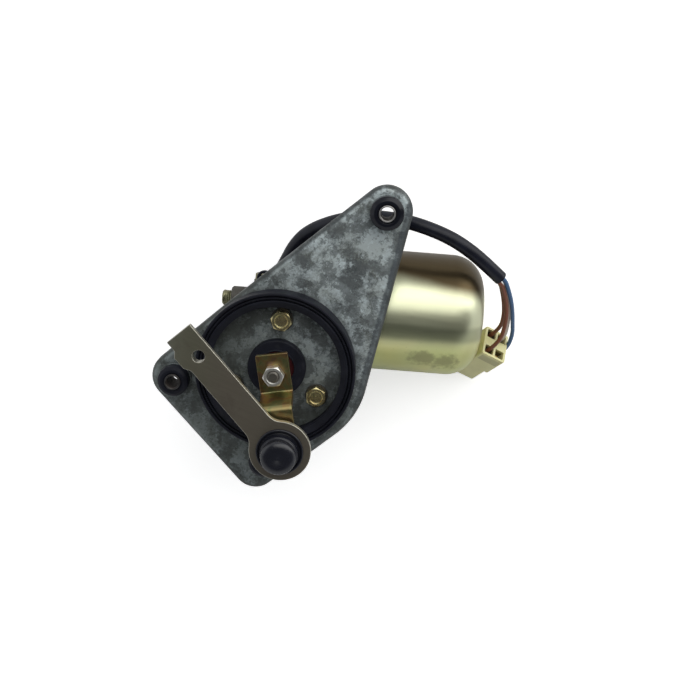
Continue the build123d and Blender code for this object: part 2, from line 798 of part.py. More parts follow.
seat_radius = ball_radius + fit_gap
mouth_radius = ball_radius - 1.1
mouth_height = ball_height - math.sqrt(seat_radius ** 2 - mouth_radius ** 2)
socket_bottom = flange_top + 0.4
cap_edge = 1.6
socket_top = ball_height + seat_radius + socket_crown
with BuildPart() as ball_socket:
    with BuildSketch(ball_plane):
        with BuildLine():
            Polyline(
                (mouth_radius, mouth_height), (stud_flange, socket_bottom),
                (socket_body + 0.9, socket_bottom), (socket_body + 0.9, link_bottom),
                (socket_hole, link_bottom), (socket_hole, link_top),
                (socket_flange, link_top), (socket_flange, link_top + 1.2),
                (socket_flange - 0.6, link_top + 1.8), (socket_body + 1.4, link_top + 1.8),
                (socket_body + 1.0, link_top + 0.7), (socket_body, link_top + 0.7),
                (socket_body, link_top + 5.2),
                (socket_body - 0.3, link_top + 5.6), (socket_cap, link_top + 5.8),
                (socket_cap, socket_top - cap_edge),
            )
            RadiusArc((socket_cap, socket_top - cap_edge), (socket_cap - cap_edge, socket_top), -cap_edge)
            Polyline(
                (socket_cap - cap_edge, socket_top), (0.8, socket_top - 0.2),
                (0.5, socket_top + 0.1), (0, socket_top + 0.1), (0, ball_height + seat_radius),
            )
            RadiusArc((0, ball_height + seat_radius), (seat_radius, ball_height), seat_radius)
            RadiusArc((seat_radius, ball_height), (mouth_radius, mouth_height), seat_radius)
        make_face()
    revolve(axis=ball_axis)
finish(ball_socket.part, "ball_socket")

# ==== gearbox cover, gasket and screws ===========================================
gasket_back = chamber_back - gasket_height
cover_back = gasket_back - cover_sheet
with BuildPart() as cover_gasket:
    with BuildSketch(Plane.XY.offset(gasket_back)):
        add(back_face)
        Circle(chamber_radius, mode=Mode.SUBTRACT)
        with Locations(*cover_ears):
            Circle(m4_radius + 0.2, mode=Mode.SUBTRACT)
    extrude(amount=gasket_height)
finish(cover_gasket.part, "cover_gasket")

outlet_plane = Plane(origin=(outlet_x, 0, outlet_z), x_dir=(1, 0, 0), z_dir=(0, 1, 0))
board_radius = dome_radius - dome_wall - 0.2
board_bottom = board_top - board_height
dome_floor = rest_plane + dome_wall
with BuildPart() as gear_cover:
    with BuildSketch(Plane.XY.offset(cover_back)):
        add(back_face)
    extrude(amount=cover_sheet)
    with BuildSketch(Plane.XY.offset(cover_back)):
        with PolarLocations((dome_radius + back_flange_radius) / 2 - 1, 8):
            Rectangle(back_flange_radius - dome_radius + 2, 2.0)
    extrude(amount=-3.0)
    with BuildSketch(Plane.XY.offset(cover_back)):
        Circle(dome_radius)
    extrude(amount=rest_plane - cover_back)
    fillet(gear_cover.faces().sort_by(Axis.Z)[0].edges(), 2.4)
    with BuildSketch(outlet_plane.offset(outlet_end)):
        Circle(outlet_radius)
    extrude(amount=-(outlet_end - 6))
    with BuildSketch(Plane.XY.offset(gasket_back)):
        Circle(dome_radius - dome_wall)
    extrude(amount=dome_floor - gasket_back, mode=Mode.SUBTRACT)
    with BuildSketch(Plane.XY.offset(dome_floor)):
        with PolarLocations(board_radius - 4, 3, 20):
            Circle(2.4)
    extrude(amount=board_bottom - dome_floor)
    with BuildSketch(outlet_plane.offset(outlet_end)):
        Circle(harness_radius + 0.6)
    extrude(amount=-(outlet_end - 6), mode=Mode.SUBTRACT)
    with BuildSketch(Plane.XY.offset(cover_back)):
        with Locations(*cover_ears):
            Circle(m4_radius + 0.2)
    extrude(amount=cover_sheet, mode=Mode.SUBTRACT)
finish(gear_cover.part, "gear_cover")

cover_head = 2.8
with BuildPart() as cover_screws:
    with BuildSketch(Plane.XY.offset(cover_back - cover_head)):
        with Locations(*cover_ears):
            Circle(m4_radius + 1.8)
    extrude(amount=cover_head)
    chamfer(cover_screws.edges().filter_by(GeomType.CIRCLE).group_by(Axis.Z)[0], 0.9)
    with BuildSketch(Plane.XY.offset(cover_back)):
        with Locations(*cover_ears):
            Circle(m4_radius)
    extrude(amount=cover_sheet + gasket_height + cover_thread - 0.5)
    with BuildSketch(Plane.XY.offset(cover_back - cover_head)):
        with Locations(*cover_ears):
            Rectangle(4.4, 0.9)
            Rectangle(0.9, 4.4)
    extrude(amount=1.6, mode=Mode.SUBTRACT)
finish(cover_screws.part, "cover_screws")

# ==== parking switch =============================================================
with BuildPart() as park_board:
    with BuildSketch(Plane.XY.offset(board_bottom)):
        Circle(board_radius)
        with PolarLocations(board_radius, 1, 125):
            Rectangle(9, 9, mode=Mode.SUBTRACT)
    extrude(amount=board_height)
finish(park_board.part, "park_board")

finger_width = 2.4
finger_sheet = 0.6
finger_foot = -9.0               # x of the fingers' feet on the board
finger_reach = 11.0              # from the foot to the contact point
finger_tip = 2.0
finger_places = (10.5, 13.5, -12.0)
contact_gap = 0.3
finger_top = wheel_back - park_disc_height - contact_gap
finger_rise = finger_top - board_top
with BuildPart() as park_contacts:
    for finger_y in finger_places:
        with BuildSketch(
            Plane(origin=(finger_foot, finger_y, board_top), x_dir=(1, 0, 0), z_dir=(0, -1, 0))
        ):
            with BuildLine():
                Polyline(
                    (0, 0), (finger_reach / 2, 0),
                    (finger_reach - finger_tip * 0.7, finger_rise - finger_sheet * 3),
                    (finger_reach, finger_rise - finger_sheet),
                    (finger_reach + finger_tip, finger_rise - finger_sheet * 2.5),
                    (finger_reach + finger_tip, finger_rise - finger_sheet * 1.5),
                    (finger_reach, finger_rise),
                    (finger_reach - finger_tip, finger_rise - finger_sheet * 2),
                    (finger_reach / 2 - finger_sheet, finger_sheet), (0, finger_sheet),
                    close=True,
                )
            make_face()
        extrude(amount=finger_width / 2, both=True)
finish(park_contacts.part, "park_contacts")

# ==== motor ======================================================================
inner_radius = can_radius - can_wall
inner_shoulder = can_shoulder - can_wall
bush_cup = 9.0
can_bush_end = can_end - can_wall
with BuildPart() as motor_can:
    with BuildSketch(motor_plane):
        with BuildLine():
            Line((can_open, inner_radius), (can_open, can_radius))
            Line((can_open, can_radius), (can_end - can_shoulder, can_radius))
            RadiusArc(
                (can_end - can_shoulder, can_radius), (can_end, can_radius - can_shoulder), can_shoulder
            )
            Polyline(
                (can_end, can_radius - can_shoulder), (can_end, 0), (can_bush_end, 0),
                (can_bush_end, can_radius - can_shoulder),
            )
            RadiusArc(
                (can_bush_end, can_radius - can_shoulder), (can_end - can_shoulder, inner_radius),
                -inner_shoulder,
            )
            Line((can_end - can_shoulder, inner_radius), (can_open, inner_radius))
        make_face()
    revolve(axis=motor_axis)
    with BuildSketch(motor_section(can_open)):
        add(mouth_face)
        Circle(inner_radius, mode=Mode.SUBTRACT)
        with Locations((ear_offset, 0), (-ear_offset, 0)):
            Circle(m5_radius + 0.2, mode=Mode.SUBTRACT)
    extrude(amount=can_wall)
    with BuildSketch(motor_section(can_bush_start)):
        Circle(bush_cup)
        Circle(bush_cup - 2.0, mode=Mode.SUBTRACT)
    extrude(amount=can_bush_end - can_bush_start)
finish(motor_can.part, "motor_can")

screw_head = 3.5
screw_flats = 7.6
with BuildPart() as can_screws:
    for side in (1, -1):
        with BuildSketch(motor_section(can_open + can_wall)):
            with Locations((side * ear_offset, 0)):
                RegularPolygon(screw_flats / 2, 6, major_radius=False)
        extrude(amount=screw_head)
        with BuildSketch(motor_section(can_open + can_wall)):
            with Locations((side * ear_offset, 0)):
                Circle(m5_radius)
        extrude(amount=-(can_wall + flange_height))
finish(can_screws.part, "can_screws")

magnet_end = can_end - can_shoulder
with BuildPart() as magnets:
    with BuildSketch(motor_section(magnet_start)):
        Circle(inner_radius)
        Circle(core_radius + air_gap, mode=Mode.SUBTRACT)
        for side in (0, 180):
            half_gap = math.radians((180 - magnet_arc) / 2)
            reach = can_radius * 1.4
            with BuildLine():
                turn = math.radians(side)
                Polyline(
                    (0, 0),
                    (reach * math.cos(turn - half_gap), reach * math.sin(turn - half_gap)),
                    (reach * math.cos(turn + half_gap), reach * math.sin(turn + half_gap)),
                    close=True,
                )
            make_face(mode=Mode.SUBTRACT)
    extrude(amount=magnet_end - magnet_start)
finish(magnets.part, "magnets")

cup_bore = bush_cup - 2.0
can_bush = motor_ring(
    armature_shaft_radius + running_gap, cup_bore, can_bush_start + 0.5, can_bush_end - 0.5
)
finish(can_bush.part, "can_bush")
bush_start = armature_left + 0.4
worm_bush = motor_ring(
    armature_shaft_radius + running_gap, bush_radius - 0.5, bush_start, armature_left + 6
)
finish(worm_bush.part, "worm_bush")
bearing_inner = armature_shaft_radius + running_gap
armature_bearing = turned(
    [
        (bearing_start, bearing_inner), (bearing_start + bearing_width, bearing_inner),
        (bearing_start + bearing_width, bearing_inner + 2.2),
        (bearing_start + bearing_width - 0.6, bearing_inner + 2.2),
        (bearing_start + bearing_width - 0.6, bearing_radius - 1.8),
        (bearing_start + bearing_width, bearing_radius - 1.8),
        (bearing_start + bearing_width, bearing_radius), (bearing_start, bearing_radius),
    ],
    motor_plane, motor_axis,
)
finish(armature_bearing.part, "armature_bearing")

pad_height = 1.0
pad_left = armature_left - side_gap - pad_height
thrust_pad = motor_ring(0, thrust_screw_radius - 1.0, pad_left, pad_left + pad_height)
finish(thrust_pad.part, "thrust_pad")
thrust_screw = turned(
    [
        (thrust_screw_left + 0.8, 2.4), (thrust_screw_left + 0.8, 0), (pad_left, 0),
        (pad_left, thrust_screw_radius), (thrust_screw_left + 0.7, thrust_screw_radius),
        (thrust_screw_left, thrust_screw_radius - 0.7), (thrust_screw_left, 2.4),
    ],
    motor_plane, motor_axis,
)
finish(thrust_screw.part, "thrust_screw")

# ==== armature ===================================================================
shaft_end = can_bush_end - 1.0
thread_outer = worm_pitch_radius + worm_addendum
thread_root = armature_shaft_radius
thread_half = 0.42
thread_slope = tooth_slope
# the thread starts at the worm's +Z side and lies midway between two teeth on its -Y side
worm_start = -worm_pitch * (worm_turns / 2 - 0.25)
with BuildPart() as armature_shaft:
    with BuildSketch(motor_plane):
        with BuildLine():
            Polyline(
                (armature_left, 0), (armature_left, armature_shaft_radius - 0.6),
                (armature_left + 0.6, armature_shaft_radius), (shaft_end, armature_shaft_radius),
                (shaft_end, 0),
                close=True,
            )
        make_face()
    revolve(axis=motor_axis)
    with BuildLine() as thread_path:
        Helix(
            worm_pitch, worm_pitch * worm_turns, worm_pitch_radius,
            center=(worm_start, worm_y, worm_z), direction=(1, 0, 0),
        )
    thread_foot = thread_path.line @ 0
    outward = Vector(thread_foot.X - worm_start, thread_foot.Y - worm_y, thread_foot.Z - worm_z).normalized()
    with BuildSketch(Plane(origin=thread_foot, x_dir=outward, z_dir=thread_path.line % 0)):
        with BuildLine():
            foot = thread_root - worm_pitch_radius - 0.25
            foot_half = thread_half - thread_slope * foot
            crest_half = thread_half - thread_slope * worm_addendum
            Polyline(
                (foot, -foot_half), (worm_addendum, -crest_half),
                (worm_addendum, crest_half), (foot, foot_half),
                close=True,
            )
        make_face()
    sweep(path=thread_path.line, is_frenet=True)
finish(armature_shaft.part, "armature_shaft")

slot_count = 10
with BuildPart() as armature_core:
    with BuildSketch(motor_section(core_start)):
        Circle(core_radius)
        Circle(armature_shaft_radius, mode=Mode.SUBTRACT)
        with PolarLocations(core_radius - 3.5, slot_count):
            Rectangle(8, 2.6, mode=Mode.SUBTRACT)
    extrude(amount=core_end - core_start)
finish(armature_core.part, "armature_core")

winding_outer = core_radius - 2.5
winding_inner = armature_shaft_radius + 3.5
with BuildPart() as armature_windings:
    for start, end in ((commutator_end, core_start), (core_end, can_bush_start - 1.5)):
        corner = (end - start) * 0.3
        with BuildSketch(motor_plane):
            with BuildLine():
                Polyline(
                    (start, winding_inner), (end, winding_inner), (end, winding_outer - corner),
                    (end - corner, winding_outer), (start + corner, winding_outer),
                    (start, winding_outer - corner),
                    close=True,
                )
            make_face()
        revolve(axis=motor_axis)
    with BuildSketch(motor_section(core_start)):
        with PolarLocations(core_radius - 4.4, slot_count):
            Rectangle(6, 2.5)
    extrude(amount=core_end - core_start)
finish(armature_windings.part, "armature_windings")

with BuildPart() as commutator:
    with BuildSketch(motor_section(commutator_start)):
        Circle(commutator_radius)
        Circle(armature_shaft_radius, mode=Mode.SUBTRACT)
    extrude(amount=commutator_end - commutator_start)
    with BuildSketch(motor_section(commutator_start)):
        with PolarLocations(commutator_radius, slot_count):
            Rectangle(1.6, 0.6)
    extrude(amount=commutator_end - commutator_start - 1, mode=Mode.SUBTRACT)
finish(commutator.part, "commutator")

# ==== brush gear =================================================================
brush_plate_sheet = 2.0
brush_width = 6.0                # along the motor
brush_height = 7.0               # across it
brush_length = 9.0
brush_start = commutator_start + 1.2
holder_wall = 0.8
holder_start = commutator_radius + 1.4
holder_length = 14.0
with BuildPart() as brush_plate:
    with BuildSketch(motor_section(can_open)):
        Circle(inner_radius - 0.1)
        Circle(commutator_radius + 3, mode=Mode.SUBTRACT)
    extrude(amount=brush_plate_sheet)
finish(brush_plate.part, "brush_plate")


def across_motor(side, distance):
    """The plane that faces out from the motor's axis along +Y or -Y, at a distance."""
    middle = brush_start + brush_width / 2
    return Plane(
        origin=(middle, worm_y + side * distance, worm_z), x_dir=(1, 0, 0), z_dir=(0, side, 0)
    )


holder_foot = brush_start - holder_wall - can_open - brush_plate_sheet
with BuildPart() as brush_holders:
    for side in (1, -1):
        with BuildSketch(across_motor(side, holder_start)):
            Rectangle(brush_width + 2 * holder_wall, brush_height + 2 * holder_wall)
        extrude(amount=holder_length)
        with BuildSketch(across_motor(side, holder_start)):
            Rectangle(brush_width, brush_height)
        extrude(amount=holder_length - holder_wall, mode=Mode.SUBTRACT)
        with BuildSketch(across_motor(side, holder_start + 3)):
            with Locations((-(brush_width / 2 + holder_wall + holder_foot / 2), 0)):
                Rectangle(holder_foot, brush_height)
        extrude(amount=holder_length - 5)
finish(brush_holders.part, "brush_holders")

with BuildPart() as brushes:
    for side in (1, -1):
        with BuildSketch(across_motor(side, commutator_radius - 2)):
            Rectangle(brush_width - 0.1, brush_height - 0.1)
        extrude(amount=brush_length + 2)
    with BuildSketch(motor_section(commutator_start - 1)):
        Circle(commutator_radius + fit_gap)
    extrude(amount=commutator_end - commutator_start + 2, mode=Mode.SUBTRACT)
finish(brushes.part, "brushes")

spring_start = commutator_radius + brush_length
spring_end = holder_start + holder_length - holder_wall
spring_wire = 0.7
spring_radius = 2.2
spring_turns = 3
with BuildPart() as brush_springs:
    for side in (1, -1):
        base = across_motor(side, spring_start + spring_wire / 2)
        with BuildLine() as coil:
            Helix(
                (spring_end - spring_start - spring_wire) / spring_turns,
                spring_end - spring_start - spring_wire, spring_radius,
                center=base.origin, direction=base.z_dir,
            )
        start_point = coil.line @ 0
        with BuildSketch(Plane(origin=start_point, z_dir=coil.line % 0)):
            Rectangle(spring_wire, spring_wire)
        sweep(path=coil.line, is_frenet=True)
finish(brush_springs.part, "brush_springs")

# ==== cable outlet and earth lead ================================================
outlet_flange = 2.0
with BuildPart() as cable_grommet:
    with BuildSketch(outlet_plane.offset(outlet_end)):
        Circle(outlet_radius + 0.4)
    extrude(amount=outlet_flange)
    fillet(cable_grommet.faces().sort_by(Axis.Y)[-1].edges(), 0.8)
    with BuildSketch(outlet_plane.offset(outlet_end)):
        Circle(harness_radius + 0.55)
    extrude(amount=-4)
finish(cable_grommet.part, "cable_grommet")

with BuildPart() as earth_screw:
    with BuildSketch(earth_plane.offset(tag_height)):
        RegularPolygon(earth_flats / 2, 6, major_radius=False)
    extrude(amount=earth_head)
    fillet(earth_screw.faces().sort_by(Axis.Y)[-1].edges(), 0.5)
    with BuildSketch(earth_plane.offset(tag_height)):
        Circle(m4_radius)
    extrude(amount=-tag_height - earth_thread)
finish(earth_screw.part, "earth_screw")

lead_radius = 0.9
lead_points = [                  # from the tag up, over and down onto the tunnel
    (earth_x + 4.6, earth_seat + tag_height + lead_radius),
    (earth_x + 7.0, earth_seat + 2.3),
    (earth_x + 9.9, earth_seat + 3.9),
    (earth_x + 13.0, earth_seat + 4.5),
    (earth_x + 15.6, earth_seat + 3.2),
    (earth_x + 16.6, earth_seat + 0.6),
    (earth_x + 16.6, earth_seat - earth_pad),
]


def corner_radii(points, share=0.45):
    """For each corner of a route, the largest tangent arc that its two runs allow."""
    radii = []
    for before, here, after in zip(points, points[1:], points[2:]):
        arriving = Vector(*here) - Vector(*before)
        leaving = Vector(*after) - Vector(*here)
        half_turn = math.radians(arriving.get_angle(leaving)) / 2
        radii.append(share * min(arriving.length, leaving.length) / math.tan(half_turn))
    return radii


def cord(points, radius, name):
    """A cord of round section along straight runs joined by tangent arcs."""
    radii = corner_radii(points)
    print(name, "arc radii", [round(value, 1) for value in radii])
    with BuildPart() as tube:
        with BuildLine() as route:
            FilletPolyline(*points, radius=radii)
        with BuildSketch(Plane(origin=route.line @ 0, z_dir=route.line % 0)):
            Circle(radius)
        sweep(path=route.line)
    print(name, "length", round(sum(edge.length for edge in route.edges()), 1))
    return tube


with BuildPart() as earth_tag:
    with BuildSketch(earth_plane):
        Circle(tag_radius)
        with Locations((tag_radius, 0)):
            Rectangle(4.0, 3.0)
        Circle(m4_radius, mode=Mode.SUBTRACT)
    extrude(amount=tag_height)
finish(earth_tag.part, "earth_tag")

earth_lead = cord([(x, y, worm_z) for x, y in lead_points], lead_radius, "earth_lead")
finish(earth_lead.part, "earth_lead")

# ==== harness: sleeve, four wires and their connector ============================
ear_top = worm_y + ear_offset + ear_radius   # the sleeve passes over the motor's upper ear
harness_points = [
    (outlet_x, outlet_end + outlet_flange, outlet_z),
    (outlet_x, 31.0, outlet_z),
    (-7.3, 39.7, -68.9),
    (-3.5, 47.6, -66.2),
    (2.2, 54.2, -62.1),
    (9.4, 60.9, -56.8),
    (19.2, 67.8, -50.0),
    (31.0, ear_top + 5.0, -42.3),
    (45.9, ear_top + 9.2, -35.0),
    (63.0, ear_top + 8.9, -29.0),
    (76.9, ear_top + 6.0, -25.9),
    (89.6, 72.7, -24.4),
    (100.4, 66.6, -24.7),
    (110.1, 59.4, -26.8),
    (118.7, 52.3, -29.9),
]
harness_sleeve = cord(harness_points, harness_radius, "harness_sleeve")
finish(harness_sleeve.part, "harness_sleeve")

# the connector's wire side faces along its own z; its x and y run across that face
# and its mating end stands clear of the can, below and in front of it
connector_stand = 9.9
connector_heading = Vector(0.440, 0.601, 0.667)
connector_reach = can_radius + connector_stand
mating_end = Vector(
    can_end - 1.8, worm_y - 0.803 * connector_reach, worm_z - 0.596 * connector_reach
)
connector_face = Plane(
    origin=mating_end + connector_heading * connector_length,
    x_dir=(0.886, -0.413, -0.213), z_dir=connector_heading,
)
cavity_width = (connector_width - 3 * connector_wall) / 2
cavity_height = 5.2
cavity_x = (cavity_width + connector_wall) / 2
cavity_y = connector_depth / 2 - connector_wall - cavity_height / 2
collar_inset = 1.1               # the body behind the collar is this much narrower all round
connector_collar = 16.5
pocket_width = 4.0               # the fifth pole's pocket, on the side of the body
pocket_depth = 8.0
pocket_top = 9.5                 # below the wire side's face
pocket_y = 3.0
pocket_x = (connector_width + pocket_width) / 2
key_width = 3.0
with BuildPart() as connector:
    with BuildSketch(connector_face.offset(-connector_length)):
        RectangleRounded(
            connector_width - 2 * collar_inset, connector_depth - 2 * collar_inset, 1.0
        )
    extrude(amount=connector_length - connector_collar)
    with BuildSketch(connector_face.offset(-connector_collar)):
        RectangleRounded(connector_width, connector_depth, 1.0)
    extrude(amount=connector_collar)
    with BuildSketch(connector_face.offset(-connector_length)):
        with Locations((pocket_x - 0.5, pocket_y)):
            RectangleRounded(pocket_width + 1, pocket_depth, 0.8)
    extrude(amount=connector_length - pocket_top)
    with BuildSketch(connector_face):
        with GridLocations(2 * cavity_x, 2 * cavity_y, 2, 2):
            RectangleRounded(cavity_width, cavity_height, 0.6)
    extrude(amount=-cavity_depth, mode=Mode.SUBTRACT)
    with BuildSketch(connector_face.offset(-pocket_top)):
        with Locations((pocket_x, pocket_y)):
            Rectangle(pocket_width - connector_wall, pocket_depth - connector_wall * 2)
    extrude(amount=-cavity_depth, mode=Mode.SUBTRACT)
    with BuildSketch(connector_face.offset(-connector_length)):
        with GridLocations(2 * cavity_x, 2 * cavity_y, 2, 2):
            Rectangle(key_width, cavity_height * 0.5)
    extrude(amount=9, mode=Mode.SUBTRACT)
finish(connector.part, "connector")

terminal_height = 3.0
with BuildPart() as terminals:
    with BuildSketch(connector_face.offset(-cavity_depth)):
        with GridLocations(2 * cavity_x, 2 * cavity_y, 2, 2):
            Rectangle(3.2, 2.6)
    extrude(amount=terminal_height)
    with BuildSketch(connector_face.offset(-pocket_top - cavity_depth)):
        with Locations((pocket_x, pocket_y)):
            Rectangle(2.4, 3.2)
    extrude(amount=terminal_height)
finish(terminals.part, "terminals")

mouth = harness_points[-1]
mouth_heading = (Vector(*mouth) - Vector(*harness_points[-2])).normalized()
mouth_plane = Plane(origin=mouth, x_dir=Vector(0, 0, 1).cross(mouth_heading), z_dir=mouth_heading)
wire_exit = 3.0                  # straight run out of the sleeve's mouth
wire_entry = 2.6                 # straight run above a cavity's mouth
pocket_entry = 6.6


def wire_points(start, cavity, top, entry, middle):
    """A wire's route: out of the sleeve's mouth, through its points, down into its cavity."""
    leaving = mouth_plane.from_local_coords(Vector(*start, 0))
    turning = mouth_plane.from_local_coords(Vector(*start, wire_exit))
    arriving = connector_face.from_local_coords(Vector(*cavity, entry - top))
    seat = connector_face.from_local_coords(Vector(*cavity, terminal_height - cavity_depth - top))
    ends = [(point.X, point.Y, point.Z) for point in (leaving, turning, arriving, seat)]
    return [*ends[:2], *middle, *ends[2:]]


wire_routes = {
    "wire_brown_left": (
        (-2.2, 1.45), (-cavity_x, -cavity_y), 0, wire_entry,
        [
            (121.7, 45.8, -30.3), (123.4, 41.9, -32.6), (122.6, 36.7, -36.6), (123.5, 31.4, -38.8),
            (124.0, 25.2, -40.2), (123.1, 19.3, -41.0), (121.5, 14.4, -41.8),
        ],
    ),
    "wire_brown_right": (
        (-2.2, -1.45), (-cavity_x, cavity_y), 0, wire_entry,
        [
            (121.6, 46.3, -33.5), (123.2, 43.2, -35.6), (123.4, 37.0, -39.8), (125.2, 30.3, -41.9),
            (125.2, 23.9, -44.9), (123.8, 19.5, -46.8),
        ],
    ),
    "wire_white": (
        (0.8, -1.45), (cavity_x, cavity_y), 0, wire_entry,
        [
            (123.6, 48.8, -33.4), (125.8, 45.4, -35.8), (126.5, 37.1, -40.3), (128.0, 29.5, -44.3),
            (128.2, 22.8, -46.8), (127.6, 17.6, -49.2),
        ],
    ),
    "wire_blue": (
        (0.8, 1.45), (pocket_x, pocket_y), pocket_top, pocket_entry,
        [
            (124.2, 48.6, -30.5), (125.9, 44.9, -32.3), (126.5, 37.3, -36.8), (128.7, 29.6, -41.2),
            (130.9, 23.0, -45.4), (134.3, 15.6, -51.8),
        ],
    ),
}
for wire_name, route in wire_routes.items():
    wire = cord(wire_points(*route), wire_radius, wire_name)
    finish(wire.part, wire_name)
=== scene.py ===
"""A windscreen wiper motor with its plate, crank and link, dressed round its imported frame.

The file is laid out as an add-on and run as a script. Shapes are worked out in millimetres in the
part's own axes: the output shaft's axis is Z, the plate's front face is z = 0, and the motor lies
along X. They are turned into metres where a mesh or a curve is made.
"""
import math

import bmesh
import bpy
import numpy as np
from mathutils import Matrix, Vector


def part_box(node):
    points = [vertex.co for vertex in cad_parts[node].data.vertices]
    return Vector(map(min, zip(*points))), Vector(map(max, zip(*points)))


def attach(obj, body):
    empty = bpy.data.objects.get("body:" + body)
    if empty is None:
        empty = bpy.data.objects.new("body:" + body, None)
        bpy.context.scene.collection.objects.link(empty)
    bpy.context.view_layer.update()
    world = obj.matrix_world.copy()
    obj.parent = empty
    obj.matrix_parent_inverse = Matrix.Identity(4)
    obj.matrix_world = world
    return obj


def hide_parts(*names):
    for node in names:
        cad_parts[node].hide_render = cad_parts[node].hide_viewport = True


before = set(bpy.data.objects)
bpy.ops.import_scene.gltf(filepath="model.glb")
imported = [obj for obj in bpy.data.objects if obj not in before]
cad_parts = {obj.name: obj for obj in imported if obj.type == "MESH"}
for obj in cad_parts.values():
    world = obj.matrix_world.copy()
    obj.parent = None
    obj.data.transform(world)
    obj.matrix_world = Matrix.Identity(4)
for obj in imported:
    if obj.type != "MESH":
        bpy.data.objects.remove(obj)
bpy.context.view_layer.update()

bl_info = {
    "name": "Wiper motor",
    "version": (1, 0, 0),
    "blender": (4, 5, 0),
    "location": "View3D > Sidebar > Wiper motor",
    "description": "Builds the looks of a windscreen wiper motor round its frame",
    "category": "Object",
}

MM = 0.001


# ==== sizes, in millimetres ======================================================
def middle(node):
    """The middle of a node's box at rest."""
    low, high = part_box(node)
    return (np.array(low) + np.array(high)) / 2 / MM


SHAFT = np.array((0.0, 0.0, 0.0))
BALL = middle("ball_stud") * (1, 1, 0)
MOTOR = middle("motor_can") * (0, 1, 1)
MOUNTS = {
    place: middle("spacer_sleeve_" + place) * (1, 1, 0) for place in ("top", "left", "bottom")
}
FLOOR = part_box("motor_can")[0][2] / MM

BOLT_CIRCLE = 26.4
BOLT_START = 87.4
BOLT_COUNT = 3
BOLT_FOOT = 1.6
M6_FLATS = 10.0
M6_RADIUS = 3.0
SCREWS = {
    # head: flats, height, finish; shank: radius, point's radius, low end, chamfer, segments
    "plate_bolt": (M6_FLATS, 4.2, "bolt_skin", M6_RADIUS, 2.4, -14.3, 0.7, 64),
    "can_screw": (7.6, 3.5, "bolt_skin", 2.45, 2.0, -7.9, 0.5, 48),
    "earth_screw": (7.0, 3.0, "screw_skin", 1.95, 1.6, -3.7, 0.4, 40),
}
WASHER_BORE = 3.25
WASHER_RADIUS = 6.2
WASHER_GAP = 1.3
NUT_BOTTOM = 16.0
NUT_HEIGHT = 5.0
NUT_TURN = 99.3
THREAD_DEPTH = 0.16
THREAD_STEP = 0.23

# the plate's two long edges: the normal of each tangent line, its distance from the shaft, the
# width of the painted shade on the bend along it and how dark that painted shade is
PLATE_EDGES = (
    ((0.985, -0.173, 0.0), 49.81, 3.6, 0.72),
    ((-0.671, 0.741, 0.0), 43.13, 1.4, 0.45),
)

SEAL_OUTER = 42.6
SEAL_HEIGHT = 12.0
SEAL_LIP = 34.7
CHANNEL_INNER = 35.8
CHANNEL_OUTER = 40.7
CHANNEL_DEPTH = 1.2
SEAL_GROOVES = 39.8
GROOVE_WIDTH = 1.0
GROOVE_RIDGE = 0.7

CAP_RADIUS = 15.7
CAP_HEIGHT = 4.4
CAP_BORE = 9.4
CAP_SEAT = (12.05, 2.72)

PLATE_HOLE = 7.05
PLATE_FACES = (-2.32, 2.22)
SLEEVE_BORE = 3.45
SLEEVE_WALL = 0.8
SLEEVE_ENDS = (-8.0, 9.5)
GROMMET_ENDS = (-7.2, 8.9)
GROMMET_FLANGE = 8.3
GROMMET_TOP_FLANGE = 8.8
GROMMET_RECESS = (4.75, 8.45)

CAN_RADIUS = 34.6
CAN_SHOULDER = 18.4
CAN_OPEN = 42.0
CAN_END = 111.6
CAN_WALL = 2.0
EAR_OFFSET = 39.6
EAR_RADIUS = 5.5
BOSS_RIM = 9.8
BOSS_RING = (9.2, 8.2)
BOSS_MIDDLE = 7.4

THRUST_LEFT = -37.7
THRUST_RADIUS = 4.5
THRUST_PITCH = 1.0
THRUST_DEPTH = 0.34
THRUST_LENGTH = 18.65
EARTH_X = -15.5
EARTH_SEAT = 38.0
EARTH_TAG = 0.8

BALL_HEIGHT = 40.5
SOCKET_SEAT = 6.05
SOCKET_MOUTH = 4.9
SOCKET_FLANGE = 12.2
SOCKET_BODY = 9.7
SOCKET_CAP = 9.0
SOCKET_TOP = 48.0
SOCKET_DOME = 4.2
LINK_TOP = 36.0
LINK_BOTTOM = 33.0

# the harness: its lines keep within a few millimetres of the part's own routes
HARNESS_RADIUS = 3.95
WIRE_RADIUS = 1.2
HARNESS = [
    (-9.3, 22.5, -70.0), (-9.3, 31.0, -70.0), (-7.3, 39.7, -68.9), (-3.5, 47.6, -66.2),
    (0.4, 56.2, -62.1), (6.4, 64.2, -56.8), (15.8, 71.0, -50.0), (29.4, 76.9, -42.3),
    (45.6, 80.3, -35.0), (63.0, 80.0, -29.0), (76.9, 77.1, -25.9), (89.6, 72.7, -24.4),
    (100.4, 66.6, -24.7), (110.1, 59.4, -26.8), (118.7, 52.3, -29.9),
]
PLUG_ORIGIN = (123.53, 9.02, -50.69)
PLUG_X = (0.886, -0.413, -0.213)
PLUG_Z = (0.440, 0.601, 0.667)
CAVITY = (3.575, 5.4)
POCKET = (9.85, 3.0)
POCKET_TOP = 9.5
WIRE_EXIT = 3.0
WIRE_SEAT = -4.0
